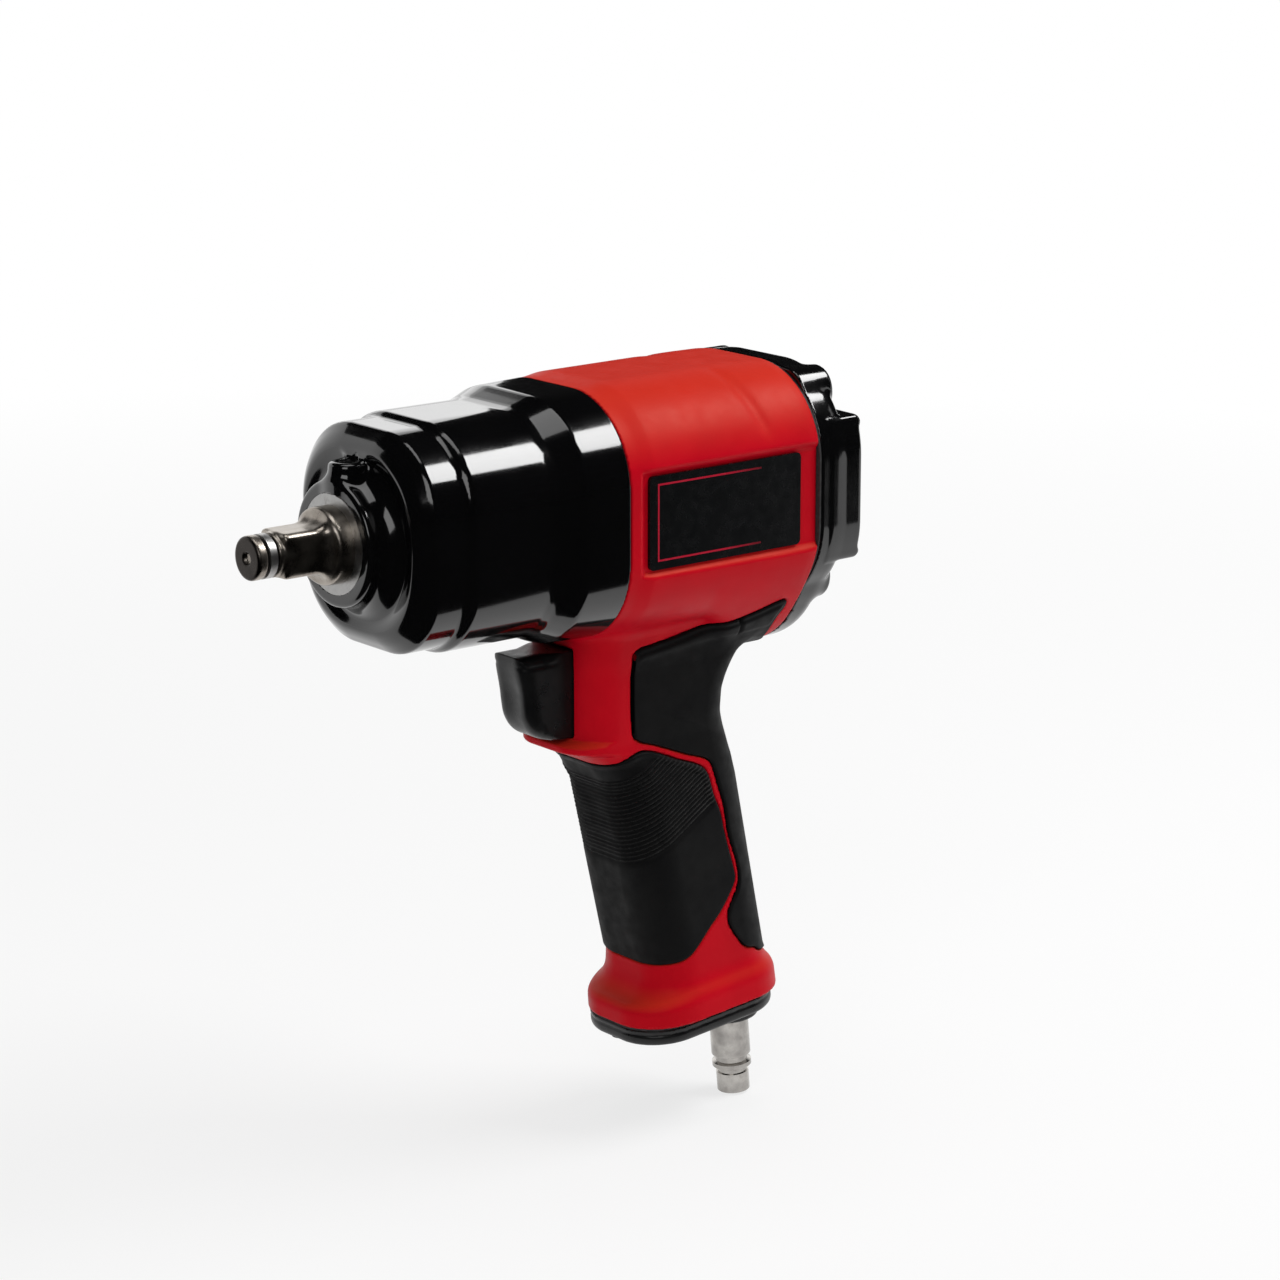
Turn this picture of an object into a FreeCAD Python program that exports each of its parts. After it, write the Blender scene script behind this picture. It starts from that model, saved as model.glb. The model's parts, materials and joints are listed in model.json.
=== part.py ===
import FreeCAD, Part
import math
import os
import re

import Sketcher

# Air impact wrench with a 12.7 mm square drive, in millimetres.
# The row frame has +X out of the drive, +Y to the tool's left and +Z up, with the origin at the
# centre of the drive's tip. Bodies are drawn in the station frame, which is the row frame turned
# half a turn about Y: its x is the station, counted backwards from the drive's tip, and its z is
# the depth below the drive axis.

SIZES = {
    # running and seating clearances
    "running_gap": 0.05,
    "seat_gap": 0.1,
    "free_gap": 0.4,
    # anvil
    "pilot_radius": 6.2,
    "pilot_length": 8.5,
    "ring_groove_start": 3.2,
    "ring_groove_width": 3.8,
    "ring_groove_radius": 4.4,
    "ring_width": 2.2,
    "square_side": 12.7,
    "square_corner": 1.1,
    "square_length": 12.0,
    "flare_length": 3.5,
    "collar_radius": 10.9,
    "centre_hole_radius": 1.3,
    "thrust_rise": 6.1,
    "thrust_length": 3.0,
    "washer_thickness": 1.2,
    "journal_rise": 2.0,
    "anvil_shaft_radius": 8.8,
    "jaw_radius": 11.3,
    "jaw_width": 7.0,
    "tail_radius": 5.0,
    "tail_length": 5.0,
    # hammer mechanism
    "cage_wall": 2.2,
    "cage_inner_gap": 1.6,
    "cage_plate": 4.0,
    "cage_window_width": 20.0,
    "hammer_radius": 21.8,
    "hammer_bore_radius": 13.0,
    "hammer_thickness": 11.4,
    "hammer_swing": 3.0,
    "pin_radius": 2.5,
    "pin_circle_radius": 17.6,
    "drive_flat": 8.4,
    # hammer case
    "collar_reach": 4.0,
    "bushing_length": 17.0,
    "bushing_wall": 3.2,
    "nose_wall": 3.75,
    "nose_length": 8.0,
    "nose_flare": 3.1,
    "rim_inset": 4.7,
    "rim_length": 4.5,
    "block_wall": 4.7,
    "block_length": 10.5,
    "barrel_step": 1.4,
    "barrel_length": 26.0,
    "flange_inset": 0.4,
    "flare_run": 10.0,
    "flange_length": 15.0,
    "cavity_gap": 0.9,
    "corner_share": 0.74,
    "boss_radius": 5.3,
    "boss_inset": 5.4,
    "boss_rise": 1.6,
    "plug_radius": 3.0,
    "plug_depth": 4.0,
    # motor housing
    "gasket_thickness": 0.6,
    "motor_wall": 6.5,
    "housing_swell": 1.1,
    "housing_tail_swell": 0.6,
    "spigot_length": 17.0,
    "housing_tail": 14.0,
    "motor_bore_radius": 29.5,
    "label_length": 56.0,
    "label_height": 27.0,
    "label_inset": 6.4,
    "label_thickness": 1.0,
    "recess_wall": 5.1,
    "keel_radius": 29.5,
    "keel_drop": 20.0,
    "keel_length": 14.0,
    "recess_height": 31.0,
    "recess_inset": 2.9,
    # air motor
    "end_plate": 6.0,
    "cylinder_length": 46.4,
    "cylinder_wall": 7.4,
    "cylinder_offset": 1.6,
    "rotor_gap": 0.4,
    "vane_reveal": 0.2,
    "vane_thickness": 2.4,
    "vane_height": 9.0,
    "slot_depth": 10.0,
    "rotor_end_gap": 0.3,
    "shaft_radius": 6.0,
    "bearing_radius": 14.0,
    "bearing_width": 8.0,
    "race_thickness": 2.2,
    "ball_radius": 1.75,
    "plate_boss_radius": 17.5,
    "dowel_radius": 1.5,
    "dowel_inset": 3.8,
    # cover screws
    "screw_radius": 2.5,
    "screw_wall": 5.04,
    "screw_angle": 53.6,
    "screw_grip": 12.0,
    "screw_head_radius": 4.2,
    "screw_head_height": 5.0,
    # rear cover and selector
    "cover_body": 11.0,
    "cover_face_inset": 0.8,
    "cover_rear_inset": 1.6,
    "cover_block_length": 5.4,
    "cover_block_half_height": 20.5,
    "cover_boss_radius": 7.2,
    "cover_spigot_wall": 4.0,
    "selector_radius": 9.0,
    "selector_hub_wall": 5.0,
    "selector_waist_radius": 5.5,
    "selector_land": 4.0,
    "selector_waist_length": 6.0,
    "selector_ring_inset": 6.0,
    "selector_ring_width": 2.0,
    "selector_ring_depth": 1.4,
    "knob_radius": 15.0,
    "knob_thickness": 6.0,
    "knob_grip_height": 3.0,
    "knob_grip_width": 9.4,
    "knob_grip_length": 25.0,
    "knob_screw_radius": 2.0,
    "knob_screw_head_radius": 3.4,
    "knob_screw_head_height": 2.5,
    "knob_screw_length": 12.0,
    "detent_radius": 1.6,
    "detent_circle_radius": 11.6,
    "detent_spring_length": 5.0,
    # handle sections, from the front of the neck: setback, length, half width and corner radius
    "neck_top_sink": 10.0,
    "neck_top_length": 67.4,
    "neck_top_half": 22.0,
    "web_drop": 2.0,
    "web_length": 59.4,
    "web_half": 18.0,
    "neck_drop": 12.0,
    "neck_length": 51.4,
    "neck_half": 17.0,
    "neck_corner": 11.0,
    "shelf_gap": 0.8,
    "lip_overhang": 4.0,
    "lip_thickness": 2.2,
    "under_lip_drop": 6.5,
    "under_lip_setback": 7.9,
    "under_lip_length": 48.0,
    "grip_drop": 15.5,
    "grip_setback": 13.4,
    "grip_length": 45.6,
    "grip_half": 18.5,
    "grip_corner": 13.0,
    "grip_end_rise": 13.4,
    "grip_end_setback": 26.4,
    "grip_end_length": 44.0,
    "toe_rise": 5.4,
    "toe_setback": 20.6,
    "toe_length": 52.2,
    "toe_half": 19.4,
    "foot_drop": 16.6,
    "foot_setback": 20.0,
    "foot_length": 54.2,
    "foot_half": 20.0,
    "pad_thickness": 2.0,
    "pad_bead": 1.2,
    # trigger and throttle valve
    "trigger_clearance": 5.0,
    "trigger_height": 24.4,
    "trigger_half": 7.75,
    "trigger_reach": 17.4,
    "trigger_toe_reach": 6.6,
    "trigger_round": 3.2,
    "trigger_seat": 1.5,
    "trigger_pocket_depth": 8.0,
    "trigger_pocket_corner": 0.8,
    "trigger_spring_pocket": 6.0,
    "trigger_spring_radius": 3.3,
    "trigger_pin_radius": 1.0,
    "trigger_pin_inset": 7.5,
    "rod_radius": 2.0,
    "rod_drop": 11.0,
    "rod_inset": 4.0,
    "rod_tip_radius": 0.8,
    "rod_tip_length": 3.0,
    "rod_tip_gap": 0.35,
    "sleeve_radius": 4.2,
    "valve_reach": 37.4,
    "chamber_radius": 7.5,
    "chamber_offset": 1.5,
    "chamber_headroom": 2.0,
    "seat_drop": 11.8,
    "seat_thickness": 2.6,
    "seat_bore_radius": 4.2,
    "seat_radius": 9.0,
    "valve_gap": 0.3,
    "valve_head_radius": 6.0,
    "valve_head_thickness": 2.2,
    "stem_radius": 1.7,
    "stem_rise": 1.6,
    "valve_spring_length": 9.0,
    "valve_spring_radius": 4.0,
    "spring_wire_radius": 0.4,
    "spring_cup_thickness": 1.4,
    "spring_cup_bore_radius": 2.8,
    # inlet, exhaust and base, measured from the base plane on the inlet axis
    "inlet_reach": 65.2,
    "base_depth": 155.4,
    "base_tilt": 5.5,
    "base_gasket_thickness": 0.8,
    "base_thickness": 5.0,
    "base_front_reach": 45.2,
    "base_rear_reach": 9.2,
    "base_half": 19.6,
    "base_corner": 15.0,
    "inlet_radius": 5.0,
    "insert_radius": 7.6,
    "insert_length": 10.0,
    "thread_radius": 5.2,
    "screen_thickness": 0.6,
    "inlet_boss_radius": 9.2,
    "inlet_boss_height": 6.5,
    "exhaust_radius": 3.4,
    "exhaust_y": 9.6,
    "exhaust_inset": 19.4,
    "exhaust_slant": 19.0,
    "muffler_reach": 37.0,
    "muffler_length": 20.5,
    "muffler_half": 13.0,
    "muffler_height": 9.0,
    "muffler_corner": 4.0,
    "vent_width": 2.4,
    "vent_pitch": 4.4,
    "vent_reach": 33.6,
    "vent_half_length": 9.0,
    "base_screw_radius": 2.0,
    "base_screw_length": 5.6,
    "base_screw_head_radius": 3.4,
    "base_screw_head_height": 2.6,
    "base_screw_rear_reach": 13.2,
    "base_screw_front_reach": 40.9,
    # air nipple
    "nipple_seal_thickness": 0.8,
    "nipple_stub_radius": 5.1,
    "nipple_stub_length": 9.0,
    "nipple_body_radius": 6.0,
    "nipple_body_length": 12.0,
    "nipple_waist_radius": 4.9,
    "nipple_waist_length": 2.1,
    "nipple_bead_radius": 6.0,
    "nipple_bead_length": 2.3,
    "nipple_neck_radius": 4.5,
    "nipple_neck_length": 1.6,
    "nipple_nose_radius": 5.0,
    "nipple_nose_length": 6.0,
    "nipple_bore_radius": 2.8,
}

BALL_COUNT = 9
VANE_COUNT = 6
VENT_COUNT = 4
SCREW_CORNERS = [(1, 1), (-1, 1), (1, -1), (-1, -1)]

doc = FreeCAD.newDocument("ImpactWrench")
sheet = doc.addObject("Spreadsheet::Sheet", "Sizes")
for row, (alias, size) in enumerate(SIZES.items(), start=1):
    sheet.set(f"A{row}", alias)
    sheet.set(f"B{row}", str(size))
    sheet.setAlias(f"B{row}", alias)
doc.recompute()

nodes = []


def bound(expression):
    """Write an expression of size names so that it reads them from the sheet."""
    return re.sub(r"[a-z]\w*_\w+", lambda word: "Sizes." + word.group(0), expression)


def number(expression):
    return float(sheet.evalExpression(bound(expression)))


def bind(item, prop, expression):
    item.setExpression(prop, bound(expression))


def node(item, label):
    """Mark an object as a finished sub-part."""
    item.Label = label
    nodes.append(item)
    return item


def in_station_frame(item):
    item.Placement = FreeCAD.Placement(FreeCAD.Vector(), FreeCAD.Rotation(FreeCAD.Vector(0, 1, 0), 180))


def in_base_frame(item):
    """Origin on the inlet axis in the base plane, x to the rear and z down out of the handle."""
    in_station_frame(item)
    bind(item, "Placement.Base.x", f"-{INLET_STATION}")
    bind(item, "Placement.Base.z", "-base_depth")
    bind(item, "Placement.Rotation.Angle", "180 + base_tilt")


def new_body(name, frame=in_station_frame):
    body = doc.addObject("PartDesign::Body", name)
    frame(body)
    return body


def origin_part(body, role):
    return [part for part in body.Origin.OriginFeatures if part.Role == role][0]


def new_sketch(body, name, role, offset="0"):
    sketch = body.newObject("Sketcher::SketchObject", name)
    sketch.AttachmentSupport = [(origin_part(body, role), "")]
    sketch.MapMode = "FlatFace"
    bind(sketch, "AttachmentOffset.Base.z", offset)
    return sketch


def pin_point(sketch, geometry, point, u, v):
    """Hold one sketch point at two bound coordinates."""
    for kind, expression in (("DistanceX", u), ("DistanceY", v)):
        rule = Sketcher.Constraint(kind, -1, 1, geometry, point, number(expression))
        bind(sketch, f"Constraints[{sketch.addConstraint(rule)}]", expression)


def polygon(body, name, role, corners, offset="0"):
    sketch = new_sketch(body, name, role, offset)
    places = [FreeCAD.Vector(number(u), number(v), 0) for u, v in corners]
    count = len(places)
    for index in range(count):
        sketch.addGeometry(Part.LineSegment(places[index], places[(index + 1) % count]), False)
    for index in range(count):
        sketch.addConstraint(Sketcher.Constraint("Coincident", index, 2, (index + 1) % count, 1))
        pin_point(sketch, index, 1, *corners[index])
    return sketch


def circle(body, name, role, u, v, radius, offset="0"):
    sketch = new_sketch(body, name, role, offset)
    centre = FreeCAD.Vector(number(u), number(v), 0)
    sketch.addGeometry(Part.Circle(centre, FreeCAD.Vector(0, 0, 1), number(radius)), False)
    pin_point(sketch, 0, 3, u, v)
    rule = Sketcher.Constraint("Radius", 0, number(radius))
    bind(sketch, f"Constraints[{sketch.addConstraint(rule)}]", radius)
    return sketch


def rounded_rectangle(body, name, role, low, high, corner, offset="0"):
    """Rectangle between two bound corners, with all four corners rounded."""
    sketch = new_sketch(body, name, role, offset)
    quarters = [(high, high, 0), (low, high, 1), (low, low, 2), (high, low, 3)]
    normal = FreeCAD.Vector(0, 0, 1)
    radius = number(corner)
    centres = []
    for side_u, side_v, _ in quarters:
        sign_u = "-" if side_u is high else "+"
        sign_v = "-" if side_v is high else "+"
        centres.append((f"{side_u[0]} {sign_u} ({corner})", f"{side_v[1]} {sign_v} ({corner})"))
    ends = []
    for (u, v), (_, _, quarter) in zip(centres, quarters):
        arc_circle = Part.Circle(FreeCAD.Vector(number(u), number(v), 0), normal, radius)
        start = quarter * math.pi / 2
        arc = Part.ArcOfCircle(arc_circle, start, start + math.pi / 2)
        ends.append((arc.StartPoint, arc.EndPoint))
        sketch.addGeometry(arc, False)
    for index in range(4):
        following = (index + 1) % 4
        sketch.addGeometry(Part.LineSegment(ends[index][1], ends[following][0]), False)
    for index in range(4):
        following = (index + 1) % 4
        sketch.addConstraint(Sketcher.Constraint("Tangent", index, 2, 4 + index, 1))
        sketch.addConstraint(Sketcher.Constraint("Tangent", 4 + index, 2, following, 1))
        pin_point(sketch, index, 3, *centres[index])
    rule = Sketcher.Constraint("Radius", 0, radius)
    bind(sketch, f"Constraints[{sketch.addConstraint(rule)}]", corner)
    for index in range(1, 4):
        sketch.addConstraint(Sketcher.Constraint("Equal", 0, index))
    return sketch


def square_section(body, name, half, offset, corner=None):
    """Rounded square around the drive axis."""
    corner = corner or f"({half}) * corner_share"
    low = (f"-({half})", f"-({half})")
    high = (f"({half})", f"({half})")
    return rounded_rectangle(body, name, "YZ_Plane", low, high, corner, offset)


def feature(body, kind, name, sketch):
    item = body.newObject("PartDesign::" + kind, name)
    item.Profile = sketch
    sketch.Visibility = False
    return item


def extrude(body, kind, name, sketch, length, symmetric=False, backwards=False):
    """Pad or Pocket of a sketch along its normal."""
    item = feature(body, kind, name, sketch)
    bind(item, "Length", length)
    item.Midplane = symmetric
    item.Reversed = (kind == "Pocket") != backwards
    return item


def turn(body, kind, name, corners):
    """Revolution or Groove of a (station, radius) outline about the body's x axis."""
    item = feature(body, kind, name, polygon(body, name + "_outline", "XY_Plane", corners))
    item.ReferenceAxis = (origin_part(body, "X_Axis"), [""])
    item.Angle = 360
    return item


def loft(body, name, sections):
    item = feature(body, "AdditiveLoft", name, sections[0])
    item.Sections = sections[1:]
    item.Ruled = True
    return item


def ring_outline(start, end, inner, outer):
    return [(start, inner), (end, inner), (end, outer), (start, outer)]


def turned_node(label, corners):
    body = new_body(label)
    turn(body, "Revolution", label + "_turned", corners)
    return node(body, label)


def disc(body, kind, name, u, v, radius, start, length):
    """Round pad or pocket that runs down from a depth."""
    return extrude(body, kind, name, circle(body, name + "_circle", "XY_Plane", u, v, radius, start), length)


def cross_disc(body, kind, name, y, z, radius, start, length):
    """Round pad or pocket that runs to the rear from a station."""
    return extrude(body, kind, name, circle(body, name + "_circle", "YZ_Plane", y, z, radius, start), length)


def boolean(kind, name, base, tool):
    item = doc.addObject("Part::" + kind, name)
    item.Base = base
    item.Tool = tool
    return item


def fused(name, shapes):
    item = doc.addObject("Part::MultiFuse", name)
    item.Shapes = shapes
    return item


def group(label, members):
    """One node that holds several separate solids."""
    item = doc.addObject("Part::Compound", label)
    item.Links = members
    return node(item, label)


def spring(label, radius, length, turns):
    """Closed helix of round wire along its own z axis."""
    helix = doc.addObject("Part::Helix", label + "_path")
    bind(helix, "Radius", radius)
    bind(helix, "Pitch", f"({length}) / {turns}")
    bind(helix, "Height", length)
    wire = doc.addObject("Part::Circle", label + "_wire")
    wire.Placement.Rotation = FreeCAD.Rotation(FreeCAD.Vector(1, 0, 0), 90)
    bind(wire, "Radius", "spring_wire_radius")
    bind(wire, "Placement.Base.x", radius)
    doc.recompute()
    coil = doc.addObject("Part::Sweep", label)
    coil.Sections = [wire]
    coil.Spine = (helix, ["Edge1"])
    coil.Solid = True
    coil.Frenet = True
    return node(coil, label)


def bar(name, radius, length, station, y="0", z="0"):
    """Cylinder along the drive axis whose front end lies at a station."""
    item = doc.addObject("Part::Cylinder", name)
    item.Placement.Rotation = FreeCAD.Rotation(FreeCAD.Vector(0, 1, 0), -90)
    bind(item, "Radius", radius)
    bind(item, "Height", length)
    bind(item, "Placement.Base.x", f"-({station})")
    bind(item, "Placement.Base.y", y)
    bind(item, "Placement.Base.z", z)
    return item


def socket_head_screw(name, radius, head_radius, head_height, seat, length, y="0", z="0"):
    """Screw that enters forwards: its head sits behind the seat station."""
    shank = bar(name + "_shank", radius, length, f"{seat} - ({length})", y, z)
    head = bar(name + "_head", head_radius, head_height, seat, y, z)
    key = doc.addObject("Part::Prism", name + "_key")
    key.Polygon = 6
    key.Placement.Rotation = FreeCAD.Rotation(FreeCAD.Vector(0, 1, 0), -90)
    bind(key, "Circumradius", f"{head_radius} * 0.5")
    bind(key, "Height", f"{head_height}")
    bind(key, "Placement.Base.x", f"-({seat} + {head_height} * 0.45)")
    bind(key, "Placement.Base.y", y)
    bind(key, "Placement.Base.z", z)
    return boolean("Cut", name, fused(name + "_solid", [shank, head]), key)


# Sizes and places that several sub-parts share, each worked out from the sizes above.
CAGE_INNER_RADIUS = "(hammer_radius + cage_inner_gap)"
CAGE_RADIUS = f"({CAGE_INNER_RADIUS} + cage_wall)"
CAVITY_RADIUS = f"({CAGE_RADIUS} + cavity_gap)"
BLOCK_HALF = f"({CAVITY_RADIUS} + block_wall)"
FACE_HALF = f"({BLOCK_HALF} - rim_inset)"
JOURNAL_RADIUS = "(collar_radius + journal_rise)"
THRUST_RADIUS = "(collar_radius + thrust_rise)"
DOWEL_HEIGHT = "(motor_bore_radius - dowel_inset)"
CYLINDER_BORE = "(motor_bore_radius - seat_gap - cylinder_wall)"
ROTOR_RADIUS = f"({CYLINDER_BORE} - cylinder_offset - rotor_gap)"
VANE_TIP_RADIUS = f"({ROTOR_RADIUS} + vane_reveal)"
BUSHING_RADIUS = "(collar_radius + running_gap + bushing_wall)"
NOSE_RADIUS = f"({BUSHING_RADIUS} + nose_wall)"
NOSE_ROOT_RADIUS = f"({NOSE_RADIUS} + nose_flare)"
FRONT_HALF = "(motor_bore_radius + motor_wall)"
MIDDLE_HALF = f"({FRONT_HALF} + housing_swell)"
REAR_HALF = f"({FRONT_HALF} + housing_tail_swell)"
SCREW_Y = "(motor_bore_radius + screw_wall) * cos(screw_angle)"
SCREW_Z = "(motor_bore_radius + screw_wall) * sin(screw_angle)"
SQUARE_END = "(pilot_length + square_length)"
COLLAR_START = f"({SQUARE_END} + flare_length)"
CASE_FRONT = f"({COLLAR_START} + collar_reach)"
BOSS_STATION = f"({CASE_FRONT} + boss_inset)"
BOSS_TOP = f"({NOSE_ROOT_RADIUS} + boss_rise)"
BUSHING_END = f"({CASE_FRONT} + bushing_length)"
WASHER_END = f"({BUSHING_END} + running_gap + washer_thickness)"
THRUST_START = f"({WASHER_END} + running_gap)"
THRUST_END = f"({THRUST_START} + thrust_length)"
CAGE_START = f"({THRUST_END} + free_gap)"
HAMMERS_START = f"({CAGE_START} + cage_plate + free_gap)"
REAR_HAMMER = f"({HAMMERS_START} + hammer_thickness + free_gap)"
HAMMERS_END = f"({HAMMERS_START} + 2 * hammer_thickness + free_gap)"
CAGE_REAR_PLATE = f"({HAMMERS_END} + free_gap)"
TAIL_END = f"({CAGE_REAR_PLATE} + tail_length)"
CAGE_END = f"({TAIL_END} + cage_plate)"
CASE_FACE = f"({CASE_FRONT} + nose_length)"
BLOCK_END = f"({CASE_FACE} + rim_length + block_length)"
BARREL_END = f"({BLOCK_END} + 2 + barrel_length)"
CASE_REAR = f"({BARREL_END} + flare_run + flange_length)"
MOTOR_START = f"({CASE_REAR} + gasket_thickness)"
MOTOR_END = f"({MOTOR_START} + cylinder_length)"
PLATE_REAR_END = f"({MOTOR_END} + end_plate)"
FRONT_BEARING = f"({MOTOR_START} - end_plate + 0.5 - bearing_width)"
REAR_BEARING = f"({PLATE_REAR_END} - 0.5)"
HOUSING_REAR = f"({PLATE_REAR_END} + spigot_length)"
HOUSING_MIDDLE = f"({HOUSING_REAR} - housing_tail)"
RECESS_FLOOR = "(motor_bore_radius + recess_wall)"
LABEL_START = f"({MOTOR_START} + label_inset)"
KEEL_START = f"({HOUSING_REAR} - keel_length)"
KEEL_DEPTH = "(keel_drop + keel_radius)"
COVER_START = f"({HOUSING_REAR} + gasket_thickness)"
COVER_FACE = f"({COVER_START} + cover_body)"
COVER_END = f"({COVER_FACE} + cover_block_length)"
SCREW_SEAT = f"({COVER_FACE} - screw_head_height)"
KNOB_START = f"({COVER_END} - knob_thickness)"
SELECTOR_START = f"({REAR_BEARING} + bearing_width + 1.5)"
WAIST_START = f"({SELECTOR_START} + selector_land)"
RING_START = f"({KNOB_START} - selector_ring_inset)"
NECK_FRONT = MOTOR_START
TRIGGER_TOP = f"({FRONT_HALF} + trigger_clearance)"
TRIGGER_BOTTOM = f"({TRIGGER_TOP} + trigger_height)"
TRIGGER_FRONT = f"({NECK_FRONT} - trigger_reach)"
TRIGGER_TOE = f"({NECK_FRONT} - trigger_toe_reach)"
TRIGGER_REAR = f"({NECK_FRONT} + trigger_seat)"
ROD_DEPTH = f"({TRIGGER_TOP} + rod_drop)"
SLEEVE_START = f"({NECK_FRONT} + trigger_pocket_depth)"
VALVE_STATION = f"({NECK_FRONT} + valve_reach)"
CHAMBER_STATION = f"({VALVE_STATION} + chamber_offset)"
CHAMBER_FRONT = f"({CHAMBER_STATION} - chamber_radius)"
STEM_TOP = f"({ROD_DEPTH} - stem_rise)"
SEAT_DEPTH = f"({ROD_DEPTH} + seat_drop)"
VALVE_HEAD_TOP = f"({SEAT_DEPTH} + seat_thickness + valve_gap)"
VALVE_SPRING_TOP = f"({VALVE_HEAD_TOP} + valve_head_thickness + valve_gap)"
SPRING_CUP_TOP = f"({VALVE_SPRING_TOP} + valve_spring_length + running_gap)"
VALVE_ROOM_END = f"({SPRING_CUP_TOP} + spring_cup_thickness)"
NECK_TOP_DEPTH = f"({FRONT_HALF} - neck_top_sink)"
WEB_DEPTH = f"({FRONT_HALF} + web_drop)"
NECK_DEPTH = f"({FRONT_HALF} + neck_drop)"
SHELF_DEPTH = f"({TRIGGER_BOTTOM} + shelf_gap)"
LIP_DEPTH = f"({SHELF_DEPTH} + 1.6)"
LIP_END_DEPTH = f"({LIP_DEPTH} + lip_thickness)"
UNDER_LIP_DEPTH = f"({LIP_END_DEPTH} + under_lip_drop)"
UNDER_LIP_FRONT = f"({NECK_FRONT} + under_lip_setback)"
LIP_FRONT = f"({NECK_FRONT} - lip_overhang)"
GRIP_DEPTH = f"({LIP_END_DEPTH} + grip_drop)"
GRIP_FRONT = f"({NECK_FRONT} + grip_setback)"
GRIP_REAR = f"({GRIP_FRONT} + grip_length)"
GRIP_END_DEPTH = "(base_depth - grip_end_rise)"
GRIP_END_FRONT = f"({NECK_FRONT} + grip_end_setback)"
GRIP_END_REAR = f"({GRIP_END_FRONT} + grip_end_length)"
TOE_FRONT = f"({NECK_FRONT} + toe_setback)"
FOOT_FRONT = f"({NECK_FRONT} + foot_setback)"
WEB_REAR = f"({NECK_FRONT} + web_length)"
NECK_REAR = f"({NECK_FRONT} + neck_length)"
INLET_STATION = f"({NECK_FRONT} + inlet_reach)"
COVER_PLATE_TOP = "base_gasket_thickness"
COVER_PLATE_END = f"({COVER_PLATE_TOP} + base_thickness)"
BOSS_END = f"({COVER_PLATE_END} + inlet_boss_height)"
NIPPLE_START = f"({BOSS_END} + nipple_seal_thickness)"


def make_anvil():
    """Square drive, collar, thrust flange, cage journal and the two jaws that the hammers strike."""
    body = new_body("anvil")
    turn(body, "Revolution", "anvil_shaft", [
        ("0.6", "0"), ("0.6", "centre_hole_radius"), ("0", "centre_hole_radius + 0.6"),
        ("0", "pilot_radius - 0.6"), ("0.6", "pilot_radius"),
        ("ring_groove_start", "pilot_radius"), ("ring_groove_start", "ring_groove_radius"),
        ("ring_groove_start + ring_groove_width", "ring_groove_radius"),
        ("ring_groove_start + ring_groove_width", "pilot_radius"),
        (SQUARE_END, "pilot_radius"), (COLLAR_START, "collar_radius"),
        (THRUST_START, "collar_radius"), (THRUST_START, THRUST_RADIUS),
        (THRUST_END, THRUST_RADIUS), (THRUST_END, JOURNAL_RADIUS),
        (f"{CAGE_START} + cage_plate", JOURNAL_RADIUS),
        (f"{CAGE_START} + cage_plate", "anvil_shaft_radius"),
        (HAMMERS_END, "anvil_shaft_radius"), (HAMMERS_END, "tail_radius"),
        (TAIL_END, "tail_radius"),
        (TAIL_END, "0"),
    ])
    square = square_section(body, "drive_section", "square_side / 2", "pilot_length", "square_corner")
    extrude(body, "Pad", "drive_square", square, "square_length + 1.5")
    for name, side, start in (("front_jaw", "-", HAMMERS_START), ("rear_jaw", "", REAR_HAMMER)):
        jaw = polygon(body, name + "_section", "YZ_Plane", [
            ("-jaw_width / 2", "0"), ("jaw_width / 2", "0"),
            ("jaw_width / 2", f"{side}(jaw_radius - 0.6)"),
            ("-jaw_width / 2", f"{side}(jaw_radius - 0.6)")], start)
        extrude(body, "Pad", name, jaw, "hammer_thickness")
    return node(body, "anvil")


def make_socket_ring():
    """Friction ring and the o-ring under it, which hold the socket on the drive."""
    start = "ring_groove_start + (ring_groove_width - ring_width) / 2"
    end = start + " + ring_width"
    middle = "pilot_radius - 0.9"
    turned_node("socket_ring", ring_outline(start, end, middle, "pilot_radius"))
    turned_node("ring_cushion", ring_outline(start, end, "ring_groove_radius", middle))


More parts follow.
